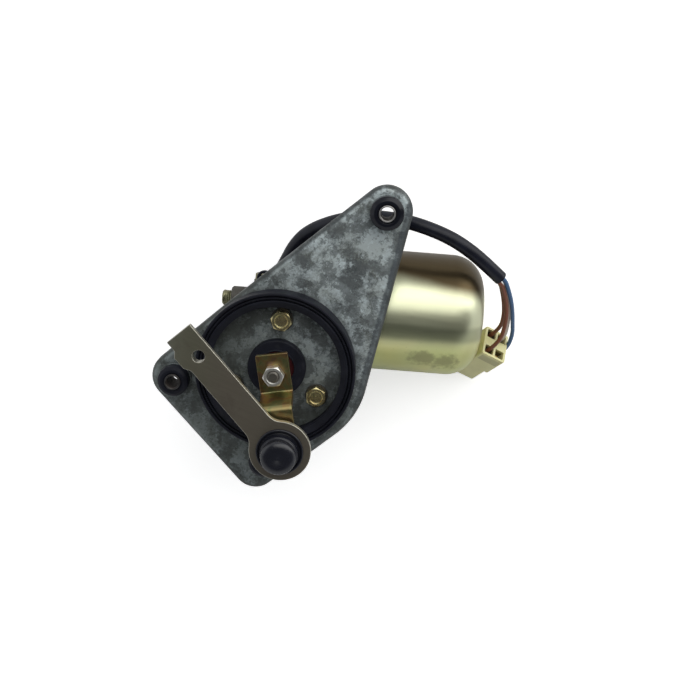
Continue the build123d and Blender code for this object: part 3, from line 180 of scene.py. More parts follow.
WIRES = {
    # start in the sleeve's mouth, cavity, depth of its mouth, straight entry, length, middle points
    "wire_brown_left": ((-2.2, 1.45), (-1, -1), 0.0, 2.6, 54.1, [
        (121.8, 44.6, -31.6), (124.6, 37.5, -35.4), (125.9, 29.4, -38.2), (125.9, 21.8, -40.2),
        (124.7, 14.7, -41.9)]),
    "wire_brown_right": ((-2.2, -1.45), (-1, 1), 0.0, 2.6, 50.6, [
        (121.1, 44.8, -35.0), (123.7, 37.1, -39.6), (125.1, 29.4, -43.0), (125.1, 21.9, -46.8)]),
    "wire_white": ((0.8, -1.45), (1, 1), 0.0, 2.6, 55.4, [
        (123.5, 47.1, -35.6), (126.4, 39.5, -40.0), (128.2, 31.1, -44.2), (128.9, 23.1, -48.2)]),
    "wire_blue": ((0.8, 1.45), None, POCKET_TOP, 6.6, 69.4, [
        (123.6, 47.0, -30.9), (126.7, 40.2, -34.9), (129.3, 32.1, -40.2), (131.2, 23.9, -45.8),
        (133.0, 15.4, -51.6)]),
}
EARTH_RADIUS = 0.9
EARTH_LEAD = [
    (-17.3, 38.4, -41.2), (-17.5, 39.9, -41.0), (-16.3, 42.8, -40.2), (-13.3, 44.0, -39.8),
    (-10.3, 42.8, -40.0), (-8.0, 40.2, -41.4), (-4.6, 38.2, -43.8), (1.1, 37.2, -45.0),
]


def unit(vector):
    """The vector divided by its own length."""
    vector = np.asarray(vector, float)
    return vector / np.linalg.norm(vector)


def plug_axes():
    """The connector's own axes: across its cavities, along them, and out of its wire side."""
    out = unit(PLUG_Z)
    across = unit(np.array(PLUG_X) - np.dot(PLUG_X, out) * out)
    return across, np.cross(out, across), out


# ==== surfaces ===================================================================
def rounded(points, radii, steps=5, closed=False):
    """A polyline whose corners are turned into arcs.

    At a corner with heading a before it and b after it, the arc starts at the tangent length
    t = r tan(turn / 2) back along a, and its point at angle s is
    start + r (sin s a + (1 - cos s) n), where n is a's normal on the side of the turn. A short
    straight stands before and after each arc, so that flat faces stay flat in their shading.
    """
    points = np.asarray(points, float)
    radii = np.broadcast_to(np.asarray(radii, float), len(points)).copy()
    if not closed:
        radii[[0, -1]] = 0
    before = points - np.roll(points, 1, 0)
    after = np.roll(points, -1, 0) - points
    run_in = np.maximum(np.hypot(*before.T), 1e-9)
    run_out = np.maximum(np.hypot(*after.T), 1e-9)
    shorter = np.minimum(run_in, run_out)
    a = before / run_in[:, None]
    b = after / run_out[:, None]
    cross = a[:, 0] * b[:, 1] - a[:, 1] * b[:, 0]
    turn = np.abs(np.arctan2(cross, (a * b).sum(1)))
    tangent = radii * np.tan(turn / 2)
    fit = np.minimum(1, 0.48 * shorter / np.maximum(tangent, 1e-9))
    radii, tangent = radii * fit, tangent * fit
    normal = np.stack([-a[:, 1], a[:, 0]], 1) * np.sign(cross)[:, None]
    angle = (turn[:, None] * np.linspace(0, 1, steps))[..., None]
    start = points - a * tangent[:, None]
    bent = np.sin(angle) * a[:, None] + (1 - np.cos(angle)) * normal[:, None]
    arc = start[:, None] + radii[:, None, None] * bent
    guard = np.minimum(0.12, 0.2 * shorter)[:, None]
    ahead = points + b * (tangent[:, None] + guard)
    whole = np.concatenate([(start - a * guard)[:, None], arc, ahead[:, None]], 1)
    return np.concatenate([
        points[i:i + 1] if radii[i] < 1e-6 else whole[i] for i in range(len(points))
    ])


def corners(rows, steps=5, closed=True):
    """A profile from rows of across, height and the radius that rounds the corner there."""
    rows = np.array(rows)
    return rounded(rows[:, :2], rows[:, 2], steps, closed)


# every finish under its plain name, once make_finishes has run
FINISHES = {}


def placed(name, data, finish):
    """An object at the origin with this mesh or curve and its finish."""
    data.materials.append(FINISHES[finish])
    piece = bpy.data.objects.new(name, data)
    bpy.context.scene.collection.objects.link(piece)
    return piece


def dressed(piece, body, slot, *nodes):
    """Rides a finished piece on its body and hides the nodes that it stands for; the slot is not
    used.
    """
    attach(piece, body)
    if nodes:
        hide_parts(*nodes)


def make_piece(name, grid, faces, finish, smooth_angle=40, caps=()):
    """A mesh from a grid of points in millimetres, with its doubles merged and its faces turned
    out; it is smooth over every edge that turns by less than the angle."""
    mesh = bpy.data.meshes.new(name)
    vertices = np.asarray(grid).reshape(-1, 3) * MM
    mesh.from_pydata(vertices.tolist(), [], [*faces.tolist(), *caps])
    work = bmesh.new()
    work.from_mesh(mesh)
    bmesh.ops.remove_doubles(work, verts=work.verts, dist=1e-7)
    bmesh.ops.dissolve_degenerate(work, edges=work.edges, dist=1e-8)
    bmesh.ops.recalc_face_normals(work, faces=work.faces)
    shade_smooth(work, smooth_angle)
    work.to_mesh(mesh)
    work.free()
    return placed(name, mesh, finish)


def shade_smooth(work, angle):
    """Smooths every face, and leaves sharp the edges that turn by the angle or more."""
    limit = math.radians(angle)
    for edge in work.edges:
        edge.smooth = edge.calc_face_angle(0) < limit
    for face in work.faces:
        face.smooth = True


def grid_faces(rows, columns, wrap_rows, wrap_columns):
    """Index quads of a grid, with its rows and columns closed on themselves where asked."""
    i, j = np.meshgrid(
        np.arange(rows if wrap_rows else rows - 1),
        np.arange(columns if wrap_columns else columns - 1),
        indexing="ij",
    )
    i, j = i.ravel(), j.ravel()
    i_next, j_next = (i + 1) % rows, (j + 1) % columns
    near, far = i * columns, i_next * columns
    return np.stack([near + j, near + j_next, far + j_next, far + j], 1)


def end_caps(rows, count):
    """The two faces that close the first and the last row of a grid with count points in a row."""
    last = (rows - 1) * count
    return [list(range(count))[::-1], list(range(last, last + count))]


# two directions across each axis and the one along it
AXES = {
    "Z": (np.array((1.0, 0, 0)), np.array((0, 1.0, 0)), np.array((0, 0, 1.0))),
    "X": (np.array((0, 1.0, 0)), np.array((0, 0, 1.0)), np.array((1.0, 0, 0))),
    "Y": (np.array((0, 0, 1.0)), np.array((1.0, 0, 0)), np.array((0, 1.0, 0))),
}


def turned_grid(radius, height, turn, origin, axis):
    """The point (r, h) at turn t is origin + r (cos t u + sin t v) + h w, with w along the axis."""
    u, v, w = AXES[axis]
    around = np.cos(turn)[:, None] * u + np.sin(turn)[:, None] * v
    return np.asarray(origin) + radius[..., None] * around + height[:, None, None] * w


def lathe(name, profile, origin, axis, finish, segments, closed=False, smooth_angle=40):
    """A surface of revolution: the profile of (radius, height) is carried round the axis."""
    turn = np.linspace(0, 2 * np.pi, segments, endpoint=False)
    radius, height = np.asarray(profile, float).T
    grid = turned_grid(radius[:, None], height, turn, origin, axis)
    faces = grid_faces(len(radius), segments, closed, True)
    return make_piece(name, grid, faces, finish, smooth_angle)


HEXAGON_SEGMENTS = 180
HEXAGON_SOFT = 0.04
CHAMFER_START = 0.97
CHAMFER_SLOPE = 0.60


def hexagon(name, flats, bottom, top, inner, origin, axis, finish, phase, both_ends=False):
    """A turned hexagon. Its radius at a turn is flats / 2 / cos(angle to the nearest flat), its
    corners turned off a little, and at each height no more than that of the cone that chamfers the
    corners, flats / 2 + depth below the face / slope. inner is the profile inside the top face."""
    turn = phase + np.pi / 6 + np.linspace(0, 2 * np.pi, HEXAGON_SEGMENTS, endpoint=False)
    nearest = (turn - phase + np.pi / 6) % (np.pi / 3) - np.pi / 6
    corner = flats / 2 / np.cos(np.pi / 6) - HEXAGON_SOFT
    hexagonal = np.minimum(flats / 2 / np.cos(nearest), corner)
    ease = 0.8 * np.linspace(0, 1, 12) ** 1.3
    levels = np.concatenate([bottom + ease, top - ease[::-1]])
    cone = flats / 2 * CHAMFER_START + (top - levels) / CHAMFER_SLOPE
    if both_ends:
        foot_cone = flats / 2 * CHAMFER_START + (levels - bottom) / CHAMFER_SLOPE
        cone = np.minimum(cone, foot_cone)
    wall = np.minimum(hexagonal[None], cone[:, None])
    inner = np.asarray(inner, float)
    foot = np.full((1, HEXAGON_SEGMENTS), inner[-1, 0] if both_ends else 0.0)
    radius = np.concatenate([foot, wall, np.repeat(inner[:, :1], HEXAGON_SEGMENTS, 1)])
    height = np.concatenate([[bottom], levels, inner[:, 1]])
    grid = turned_grid(radius, height, turn, origin, axis)
    faces = grid_faces(len(height), HEXAGON_SEGMENTS, both_ends, True)
    return make_piece(name, grid, faces, finish, smooth_angle=28)


def carried(name, section, path, across, up, finish):
    """A closed section of points (x, y) carried along a path: point = path + x across + y up."""
    x, y = np.asarray(section, float).T[..., None]
    grid = path[:, None] + x * across[:, None] + y * up[:, None]
    faces = grid_faces(len(path), len(section), False, True)
    return make_piece(name, grid, faces, finish, caps=end_caps(len(path), len(section)))


def slab(name, outline, levels, axis, origin, finish):
    """An outline in a plane, raised through levels (height, inset) along the axis; each inset moves
    it in along its normal."""
    u, v, w = AXES[axis]
    outline = np.asarray(outline, float)
    after = np.roll(outline, -1, 0)
    ahead = after - np.roll(outline, 1, 0)
    normal = np.stack([ahead[:, 1], -ahead[:, 0]], 1)
    normal /= np.maximum(np.hypot(*normal.T), 1e-9)[:, None]
    normal *= np.sign((outline[:, 0] * after[:, 1] - after[:, 0] * outline[:, 1]).sum())
    heights, insets = np.array(levels).T
    flat = outline[None] - insets[:, None, None] * normal[None]
    grid = np.asarray(origin) + flat[..., :1] * u + flat[..., 1:] * v + heights[:, None, None] * w
    faces = grid_faces(len(levels), len(outline), False, True)
    return make_piece(name, grid, faces, finish, caps=end_caps(len(levels), len(outline)))


BEVEL_ANGLE = 35


def softened(node, width, body, slot, finish):
    """A copy of a node's faces, its doubles merged, with every edge that turns by more than the
    bevel's angle rounded."""
    work = bmesh.new()
    work.from_mesh(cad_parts[node].data)
    bmesh.ops.remove_doubles(work, verts=work.verts, dist=2e-6)
    bmesh.ops.dissolve_limit(
        work, angle_limit=math.radians(0.6), verts=work.verts, edges=work.edges
    )
    shade_smooth(work, BEVEL_ANGLE)
    mesh = bpy.data.meshes.new(node + "_softened")
    work.to_mesh(mesh)
    work.free()
    piece = placed(node + "_softened", mesh, finish)
    bevel = piece.modifiers.new("edges", "BEVEL")
    bevel.width = width * MM
    bevel.segments = 2
    bevel.limit_method = "ANGLE"
    bevel.angle_limit = math.radians(BEVEL_ANGLE)
    bevel.use_clamp_overlap = True
    bevel.harden_normals = True
    dressed(piece, body, slot, node)


# ==== shader parts ===============================================================
class Signal:
    """What a socket of a shader tree carries. Arithmetic on it adds the nodes that work it out."""

    def __init__(self, socket):
        self.socket = socket
        self.tree = socket.id_data

    def maths(self, operation, *others):
        """Plain maths with this value first."""
        inputs = dict(enumerate((self, *others)))
        return put(self.tree, "ShaderNodeMath", inputs, operation=operation)

    def __add__(self, other):
        return self.maths("ADD", other)

    def __sub__(self, other):
        return self.maths("SUBTRACT", other)

    def __mul__(self, other):
        return self.maths("MULTIPLY", other)

    def __abs__(self):
        return self.maths("ABSOLUTE")

    def __rsub__(self, number):
        return put(self.tree, "ShaderNodeMath", {0: number, 1: self}, operation="SUBTRACT")

    def __rtruediv__(self, number):
        return put(self.tree, "ShaderNodeMath", {0: number, 1: self}, operation="DIVIDE")

    def vector(self, operation, other=None, output=0):
        """Vector maths with another vector, or with the number that SCALE takes."""
        inputs = {0: self}
        if other is not None:
            inputs["Scale" if operation == "SCALE" else 1] = other
        return put(self.tree, "ShaderNodeVectorMath", inputs, output, operation=operation)

    def length(self):
        """A vector's length."""
        return self.vector("LENGTH", output="Value")

    def dot(self, axis):
        """How far a vector reaches along an axis."""
        return self.vector("DOT_PRODUCT", axis, "Value")

    def part(self, axis):
        """The part of a vector along axis 0, 1 or 2."""
        return put(self.tree, "ShaderNodeSeparateXYZ", {0: self}, axis)

    def mapped(self, **inputs):
        """A vector turned and scaled."""
        return put(self.tree, "ShaderNodeMapping", {"Vector": self, **inputs})

    def eased(self, low, high, to_low=0.0, to_high=1.0, kind="SMOOTHSTEP"):
        """Goes from to_low to to_high as the value goes from low to high."""
        inputs = {
            "Value": self, "From Min": low, "From Max": high, "To Min": to_low, "To Max": to_high,
        }
        return put(self.tree, "ShaderNodeMapRange", inputs, interpolation_type=kind)


def connect(node, inputs):
    """Gives a node its inputs, each a value or a signal."""
    for key, value in inputs.items():
        if isinstance(value, Signal):
            value.tree.links.new(value.socket, node.inputs[key])
        else:
            node.inputs[key].default_value = value


def put(tree, kind, inputs=None, output=0, **settings):
    """Adds a node with its settings and inputs, and returns one of its outputs."""
    node = tree.nodes.new(kind)
    for key, value in settings.items():
        setattr(node, key, value)
    connect(node, inputs or {})
    return Signal(node.outputs[output])


def most(first, *others):
    """The greatest of several signals."""
    for other in others:
        first = first.maths("MAXIMUM", other)
    return first


def noise(place, scale, detail=4.0, roughness=0.55, distortion=0.0, output="Fac"):
    """The noise at a place, as a value or, from its other output, as a colour."""
    inputs = {
        "Vector": place, "Scale": scale, "Detail": detail, "Roughness": roughness,
        "Distortion": distortion,
    }
    return put(place.tree, "ShaderNodeTexNoise", inputs, output)


def opaque(colour):
    """A colour with its alpha, no part of it above 1."""
    return (*np.minimum(colour, 1), 1)


def ramp(value, *stops):
    """A colour ramp with stops of (place, colour)."""
    node = value.tree.nodes.new("ShaderNodeValToRGB")
    connect(node, {"Fac": value})
    elements = node.color_ramp.elements
    while len(elements) < len(stops):
        elements.new(0.5)
    for element, (place, colour) in zip(elements, stops):
        element.position = place
        element.color = opaque(colour)
    return Signal(node.outputs["Color"])


def over(base, mask, colour):
    """Lays a colour over another as far as the mask says; each is a value or a signal."""
    tree = next(part.tree for part in (mask, base, colour) if isinstance(part, Signal))
    base, colour = (part if isinstance(part, Signal) else opaque(part) for part in (base, colour))
    return put(tree, "ShaderNodeMix", {0: mask, 6: base, 7: colour}, 2, data_type="RGBA")


# ==== effects that materials share ===============================================
def zinc_crystals(place, crystal):
    """Hot-dipped zinc: pale and mid clouds on crystal cells, ragged dark islands with cracked
    shores, fine dark flecks and pale blooms. Noise moves the coordinates to tear the edges."""
    place = place.vector("SCALE", 1000.0 / crystal)

    def ragged(spread, size):
        """The coordinates shifted by as much as half the spread, by a noise of that size."""
        shift = noise(place, size, 6.0, 0.7, output="Color").vector("SUBTRACT", (0.5, 0.5, 0.5))
        return place.vector("ADD", shift.vector("SCALE", spread))

    torn, curled = ragged(1.5, 1.6), ragged(0.7, 4.5)
    cells = put(place.tree, "ShaderNodeTexVoronoi", {"Vector": torn, "Scale": 0.7}, "Color")
    cells = put(place.tree, "ShaderNodeSeparateColor", {"Color": cells})
    cloud = noise(torn, 0.42, 5.0, 0.62).eased(0.36, 0.60)
    mottle = noise(place, 5.0, 8.0, 0.72)
    island = noise(torn, 0.62, 4.0, 0.55) + noise(curled, 3.0, 4.0, 0.6) * 0.16 - 0.08
    crack = abs(island - 0.520).eased(0.034, 0.012) * noise(torn, 1.3, 3.0, 0.6).eased(0.47, 0.56)
    where = noise(place, 0.5, 2.0, 0.5).eased(0.36, 0.54)
    fleck = most(noise(curled, 2.6, 3.0, 0.6).eased(0.56, 0.62) * where, crack)
    return {
        "Tone": cells * 0.22 + cloud * 0.44 + mottle * 0.86 - 0.25,
        "Dark": island.eased(0.530, 0.562),
        "Fleck": fleck,
        "Bloom": noise(curled, 1.4, 5.0, 0.66).eased(0.55, 0.66),
        "Height": mottle * 0.6 - (fleck + island.eased(0.57, 0.63)) * 0.3,
    }


def blotches(place, size, amount):
    """Stains, dust or tarnish: a soft mask of patches, broken up by a finer noise."""
    scale = 1000.0 / size
    fine = noise(place, scale * 7.0, 6.0, 0.65)
    edge = 0.72 - amount * 0.36
    value = noise(place, scale, 5.0, 0.6, 0.4) - 0.125 + fine * 0.25
    return {"Mask": value.eased(edge, edge + 0.14), "Grain": fine}


def hairlines(place, density):
    """Fine scratches: two sets of noise drawn out along crossing directions, cut to thin lines."""
    edge = 0.76 - density * 0.1
    sets = []
    for turn, stretch in ((0.35, (2200, 90, 90)), (1.5, (90, 1700, 140))):
        line = noise(place.mapped(Rotation=(0.2, 0.1, turn), Scale=stretch), 1.0, 2.0, 0.5)
        sets.append(line.eased(edge, edge + 0.05, kind="LINEAR"))
    return {"Mask": most(*sets)}


def moulded_skin(place, grain, waves):
    """Moulded or cast skin: a fine grain on slow waves, as a height and a tone."""
    fine = noise(place, 1000.0 / grain, 3.0, 0.6)
    slow = noise(place, 1000.0 / waves, 3.0, 0.5)
    return {"Height": slow * 0.6 + fine * 0.4, "Tone": slow}


def drawn_lines(place, stretch):
    """Marks of drawing or rolling: noise stretched along one direction by the axes' scales."""
    return {"Height": noise(place.mapped(Scale=stretch), 1.0, 3.0, 0.6)}


# each effect's function, its outputs, and its inputs beside the coordinates with their defaults
EFFECT_KINDS = {
    "zinc_crystals": (
        zinc_crystals, ("Tone", "Dark", "Fleck", "Bloom", "Height"), {"Crystal": 6.0}
    ),
    "blotches": (blotches, ("Mask", "Grain"), {"Size": 10.0, "Amount": 0.5}),
    "hairlines": (hairlines, ("Mask",), {"Density": 0.5}),
    "moulded_skin": (moulded_skin, ("Height", "Tone"), {"Grain": 0.4, "Waves": 6.0}),
    "drawn_lines": (drawn_lines, ("Height",), {"Stretch": (60.0, 900.0, 900.0)}),
}


def effect_group(name):
    """An effect's group of shader nodes, with its sockets and the nodes of its function."""
    work, outputs, inputs = EFFECT_KINDS[name]
    tree = bpy.data.node_groups.new(name, "ShaderNodeTree")
    add_socket = tree.interface.new_socket
    add_socket("Vector", in_out="INPUT", socket_type="NodeSocketVector")
    for label, default in inputs.items():
        kind = "Vector" if isinstance(default, tuple) else "Float"
        socket = add_socket(label, in_out="INPUT", socket_type="NodeSocket" + kind)
        socket.default_value = default
    for label in outputs:
        add_socket(label, in_out="OUTPUT", socket_type="NodeSocketFloat")
    source = tree.nodes.new("NodeGroupInput").outputs
    made = work(*(Signal(source[label]) for label in ("Vector", *inputs)))
    connect(tree.nodes.new("NodeGroupOutput"), made)
    return tree


# every effect's group, once make_finishes has run
EFFECTS = {}


class Finish:
    """A material in the making: its tree, its shader with the shader's constant values, and the
    Object coordinates that its patterns read."""

    def __init__(self, name, **constants):
        self.material = bpy.data.materials.new(name)
        self.material.use_nodes = True
        self.tree = self.material.node_tree
        self.tree.nodes.clear()
        self.shader = self.tree.nodes.new("ShaderNodeBsdfPrincipled")
        self.feed(constants)
        output = self.tree.nodes.new("ShaderNodeOutputMaterial")
        connect(output, {"Surface": Signal(self.shader.outputs[0])})
        self.place = put(self.tree, "ShaderNodeTexCoord", output="Object")

    def feed(self, sockets):
        """Sets or links the shader's sockets, each named with _ for a space."""
        connect(self.shader, {key.replace("_", " "): value for key, value in sockets.items()})

    def effect(self, name, place=None, **inputs):
        """Places an effect's group with its own values, and returns its outputs by their names."""
        group = self.tree.nodes.new("ShaderNodeGroup")
        group.node_tree = EFFECTS[name]
        connect(group, {"Vector": place or self.place, **inputs})
        return {socket.name: Signal(socket) for socket in group.outputs}

    def facing(self, axis):
        """How far the surface faces along an axis of the object, from -1 to 1."""
        return put(self.tree, "ShaderNodeTexCoord", output="Normal").part(axis)

    def along(self, axis, low, high):
        """A smooth step between two places, in millimetres, along an axis of the object."""
        return self.place.part(axis).eased(low * MM, high * MM)

    def done(self, height=None, strength=0.0, depth=0.0, **sockets):
        """Feeds the shader and its bump, whose depth is in millimetres, and gives the material."""
        self.feed(sockets)
        if height:
            inputs = {"Height": height, "Strength": strength, "Distance": depth * MM}
            self.feed({"Normal": put(self.tree, "ShaderNodeBump", inputs)})
        return self.material


# ==== finishes ===================================================================
GREASE_AND_SHADE = (0.035, 0.039, 0.038)
LOWER_LEFT_DARK = (0.040, 0.045, 0.036)
BEND_SHADE = (0.050, 0.060, 0.070)
WARM_ZINC = (0.27, 0.28, 0.22)
BRIGHT_SCRATCH = (0.42, 0.45, 0.47)


def galvanised(colours):
    """Hot-dipped zinc on the plate, with painted shade along its bent edges, grease and painted
    shade inside the seal ring, a darker ring round its foot, painted shade over the rolled rim, and
    a darker tone towards the lower left."""
    finish = Finish("galvanised_steel", Specular_IOR_Level=0.5)
    place = finish.place
    zinc = finish.effect("zinc_crystals", Crystal=6.5)
    tone = np.array(colours.zinc)
    base = ramp(
        zinc["Tone"],
        (0.18, tone * 0.27), (0.36, tone * 0.62), (0.53, tone * 1.14), (0.74, tone * 1.95),
    )
    base = over(base, noise(place, 70.0, 3.0, 0.5).eased(0.42, 0.62) * 0.20, WARM_ZINC)
    base = over(base, zinc["Bloom"] * 0.62, tone * 2.45)
    base = over(base, zinc["Dark"] * 0.74, tone * 0.30)
    base = over(base, zinc["Fleck"] * 0.62, tone * 0.24)
    bends = []
    for normal, distance, width, share in PLATE_EDGES:
        depth = distance * MM - place.dot(normal) + (zinc["Tone"] - 0.5) * (1.2 * MM)
        bends.append(depth.eased((width + 1.6) * MM, width * MM) * share)
    # painted shade along the plate's two bent edges
    base = over(base, most(*bends), BEND_SHADE)
    reach = place.vector("MULTIPLY", (1.0, 1.0, 0.0)).length()
    inside = reach.eased((SEAL_LIP + 1.5) * MM, (SEAL_LIP - 2.5) * MM)
    ring = reach.eased((SEAL_OUTER + 3.0) * MM, SEAL_OUTER * MM)
    rim = finish.facing(2).eased(0.999, 0.72)
    # grease and painted shade inside the seal ring, a darker ring round its foot, and painted shade
    # over the rolled rim
    base = over(base, most(inside * 0.32, ring * 0.28, rim * 0.70), GREASE_AND_SHADE)
    # darker towards the lower left of the plate
    low = most(finish.along(0, 12.0, -30.0), finish.along(1, 6.0, -30.0))
    base = over(base, low * 0.62, LOWER_LEFT_DARK)
    lines = finish.effect("hairlines", Density=0.4)
    base = over(base, lines["Mask"] * 0.25, BRIGHT_SCRATCH)
    return finish.done(
        zinc["Height"], 0.40, 0.12, Base_Color=base,
        Roughness=zinc["Tone"].eased(0.2, 0.8, 0.62, 0.46),
        Metallic=zinc["Dark"].eased(0.0, 1.0, 0.40, 0.15),
    )


def rubber(name, colour, roughness, grain=0.35, dust=0.3, specular=0.16):
    """Moulded rubber or PVC: near black, a fine skin, and a little pale dust lying in patches."""
    finish = Finish(name, Specular_IOR_Level=specular)
    skin = finish.effect("moulded_skin", Grain=grain, Waves=7.0)
    dusty = finish.effect("blotches", Size=8.0, Amount=dust)["Mask"]
    base = over(colour * 0.8, skin["Tone"].eased(0.3, 0.7), colour * 1.25)
    base = over(base, dusty * dust, colour * 0.6 + 0.030)
    rough = dusty.eased(0.0, 1.0, roughness, min(0.9, roughness + 0.22))
    return finish.done(skin["Height"], 0.22, 0.05, Base_Color=base, Roughness=rough)


def yellow_zinc(name, colour, stretch, roughness, brown, speckled=0.12, iridescent=0.0,
                relief=0.10, can=False):
    """Yellow-passivated zinc: pale gold drifting to green and brown, with drawn marks and specks,
    and with rainbow colours where it is iridescent."""
    finish = Finish(name, Metallic=0.95, Specular_IOR_Level=0.5)
    place = finish.place
    colour = np.array(colour)
    base = ramp(
        noise(place, 26.0, 3.0, 0.5),
        (0.32, colour * (0.90, 0.97, 0.88)), (0.50, colour), (0.68, colour * (1.07, 0.99, 0.86)),
    )
    if iridescent:
        rainbow = ramp(
            noise(place, 190.0, 2.0, 0.5, 0.8),
            (0.36, (0.20, 0.23, 0.10)), (0.46, colour), (0.55, colour * (1.0, 0.78, 0.66)),
            (0.64, (0.27, 0.15, 0.10)),
        )
        base = over(base, iridescent, rainbow)
    patch = finish.effect("blotches", Size=12.0, Amount=0.35)
    base = over(base, patch["Mask"] * brown, colour * (0.36, 0.28, 0.20))
    speck = noise(place, 900.0, 2.0, 0.5).eased(0.66, 0.76)
    base = over(base, speck * speckled, colour * 0.3)
    lines = finish.effect("drawn_lines", Stretch=stretch)
    rough = lines["Height"] * 0.14 + (roughness - 0.07)
    if can:
        # painted light on the can, with its thumb marks
        base, marks = can_painted_light_and_marks(place, base, colour)
        rough = rough + marks * 0.12
    return finish.done(lines["Height"], relief, 0.04, Base_Color=base, Roughness=rough)


# each greasy thumb mark: its place, and how fast it fades along each axis, per metre
THUMB_MARKS = (
    ((79.0, 6.8, -22.0), (88.0, 190.0, 75.0)),
    ((91.0, 5.8, -22.0), (110.0, 150.0, 75.0)),
)
# colours of painted light on the can: a highlight tint, two dark reflections and the shade below
UPPER_HIGHLIGHT_TINT = (0.67, 0.70, 0.53)
FLANK_DARK_REFLECTION = (0.070, 0.044, 0.018)
MIDDLE_DARK_REFLECTION = (0.23, 0.26, 0.17)
UNDERSIDE_SHADE = (0.20, 0.245, 0.095)


def can_painted_light_and_marks(place, base, colour):
    """Painted light on the can, with its thumb marks: a paler, whiter gold painted on its upper
    side where the highlight falls, a painted dark brown reflection along the upper flank, a painted
    dark reflection band along its middle, painted shade in green below, and two thumb marks. Gives
    the colour and the mask of the marks."""
    along = place.part(0)
    level = place.part(1) + noise(place, 90.0, 3.0, 0.5) * (1.6 * MM)

    def between(value, low, high):
        """A smooth step between two heights over the motor's axis."""
        return value.eased((MOTOR[1] + low) * MM, (MOTOR[1] + high) * MM)

    sloped = level + (along - 60 * MM) * 0.17
    band = between(level, -10.0, -5.5) * between(level, 2.5, -1.5)
    under = between(level, -10.0, -19.0) * along.eased(100 * MM, 62 * MM, 0.35, 0.80)
    # painted highlight tint: paler, whiter gold on the upper side where the highlight falls
    base = over(base, between(level, -17.0, 4.0) * 0.80, UPPER_HIGHLIGHT_TINT)
    # painted dark reflection along the upper flank
    base = over(base, between(sloped, 20.5, 29.5) * 0.96, FLANK_DARK_REFLECTION)
    # painted dark reflection band along the middle
    base = over(base, band * 0.50, MIDDLE_DARK_REFLECTION)
    # painted shade below: a darker green where the underside reflects the shaded floor
    base = over(base, under * 0.70, UNDERSIDE_SHADE)
    marks = []
    for spot, fade in THUMB_MARKS:
        away = place.vector("SUBTRACT", np.array(spot) * MM).vector("MULTIPLY", fade).length()
        away = away - 1.0 + noise(place, 170.0, 5.0, 0.65) * 2.0
        marks.append(away.eased(1.15, 0.55))
    marks = most(*marks)
    return over(base, marks * 0.55, colour * (0.30, 0.29, 0.34)), marks


def plain_metal(name, colour, roughness, grain=0.5, metallic=1.0, tarnish=0.3):
    """Bare or plated metal: slight tarnish, hairlines and a fine grain."""
    finish = Finish(name, Metallic=metallic, Specular_IOR_Level=0.5)
    colour = np.array(colour)
    skin = finish.effect("moulded_skin", Grain=grain, Waves=5.0)
    patch = finish.effect("blotches", Size=6.0, Amount=tarnish)["Mask"]
    lines = finish.effect("hairlines", Density=0.35)["Mask"]
    base = over(colour, patch * 0.5, colour * 0.55)
    base = over(base, lines * 0.4, colour * 1.6)
    rough = patch.eased(0.0, 1.0, roughness, min(0.85, roughness + 0.2))
    return finish.done(skin["Height"], 0.15, 0.04, Base_Color=base, Roughness=rough)


def cast_alloy(colour):
    """Pressure-cast alloy: dull grey skin with flow marks, fine pits and darker dirt."""
    finish = Finish("cast_alloy", Metallic=0.75, Specular_IOR_Level=0.5)
    colour = np.array(colour)
    skin = finish.effect("moulded_skin", Grain=0.9, Waves=9.0)
    dirt = finish.effect("blotches", Size=9.0, Amount=0.55)["Mask"]
    base = over(colour * 0.75, skin["Tone"].eased(0.3, 0.7), colour * 1.2)
    base = over(base, dirt * 0.5, (0.055, 0.052, 0.045))
    rough = dirt.eased(0.0, 1.0, 0.5, 0.75)
    return finish.done(skin["Height"], 0.5, 0.14, Base_Color=base, Roughness=rough)


def moulding(name, colour, roughness, subsurface=0.0, grime=0.3, grain=0.5, specular=0.5,
             plug=False):
    """Moulded plastic: slow sinks in the skin, a little translucence and grime in patches, and
    painted shade in the plug's cavities.
    """
    finish = Finish(
        name, Specular_IOR_Level=specular, Subsurface_Weight=subsurface,
        Subsurface_Radius=(0.004, 0.003, 0.0015), Subsurface_Scale=0.5,
    )
    colour = np.array(colour)
    skin = finish.effect("moulded_skin", Grain=grain, Waves=8.0)
    dirt = finish.effect("blotches", Size=7.0, Amount=grime)["Mask"]
    base = over(colour * 0.92, skin["Tone"].eased(0.3, 0.7), colour)
    base = over(base, dirt * grime, colour * 0.5)
    if plug:
        # painted shade in the plug's cavities
        base = over(base, cavity_shade(finish.place) * 0.92, (0.060, 0.042, 0.016))
    rough = dirt.eased(0.0, 1.0, roughness, min(0.85, roughness + 0.18))
    return finish.done(skin["Height"], 0.16, 0.06, Base_Color=base, Roughness=rough)


def cavity_shade(place):
    """Where painted shade lies in the connector's cavities: from 0.4 to 3 mm below the entry face,
    down to their floor, and inside the outer walls."""
    inner = place.vector("SUBTRACT", np.array(PLUG_ORIGIN) * MM)
    across, along, out = (inner.dot(axis) for axis in plug_axes())
    deep = out.eased(-0.4 * MM, -3.0 * MM) * out.eased(-7.3 * MM, -7.1 * MM)
    walls = abs(across).eased(6.6 * MM, 6.1 * MM) * abs(along).eased(9.6 * MM, 9.1 * MM)
    return deep * walls


def fibrous(name, colour, fibre=0.25):
    """Felt or paper: short fibres that lift the surface and vary its tone."""
    finish = Finish(name, Specular_IOR_Level=0.2, Sheen_Weight=0.25)
    colour = np.array(colour)
    stretch = (400 / fibre, 900 / fibre, 900 / fibre)
    lines = finish.effect("drawn_lines", Stretch=stretch)["Height"]
    base = over(colour * 0.6, lines.eased(0.3, 0.7), colour)
    rough = lines.eased(0.2, 0.8, 0.8, 0.95)
    return finish.done(lines, 0.5, 0.15, Base_Color=base, Roughness=rough)


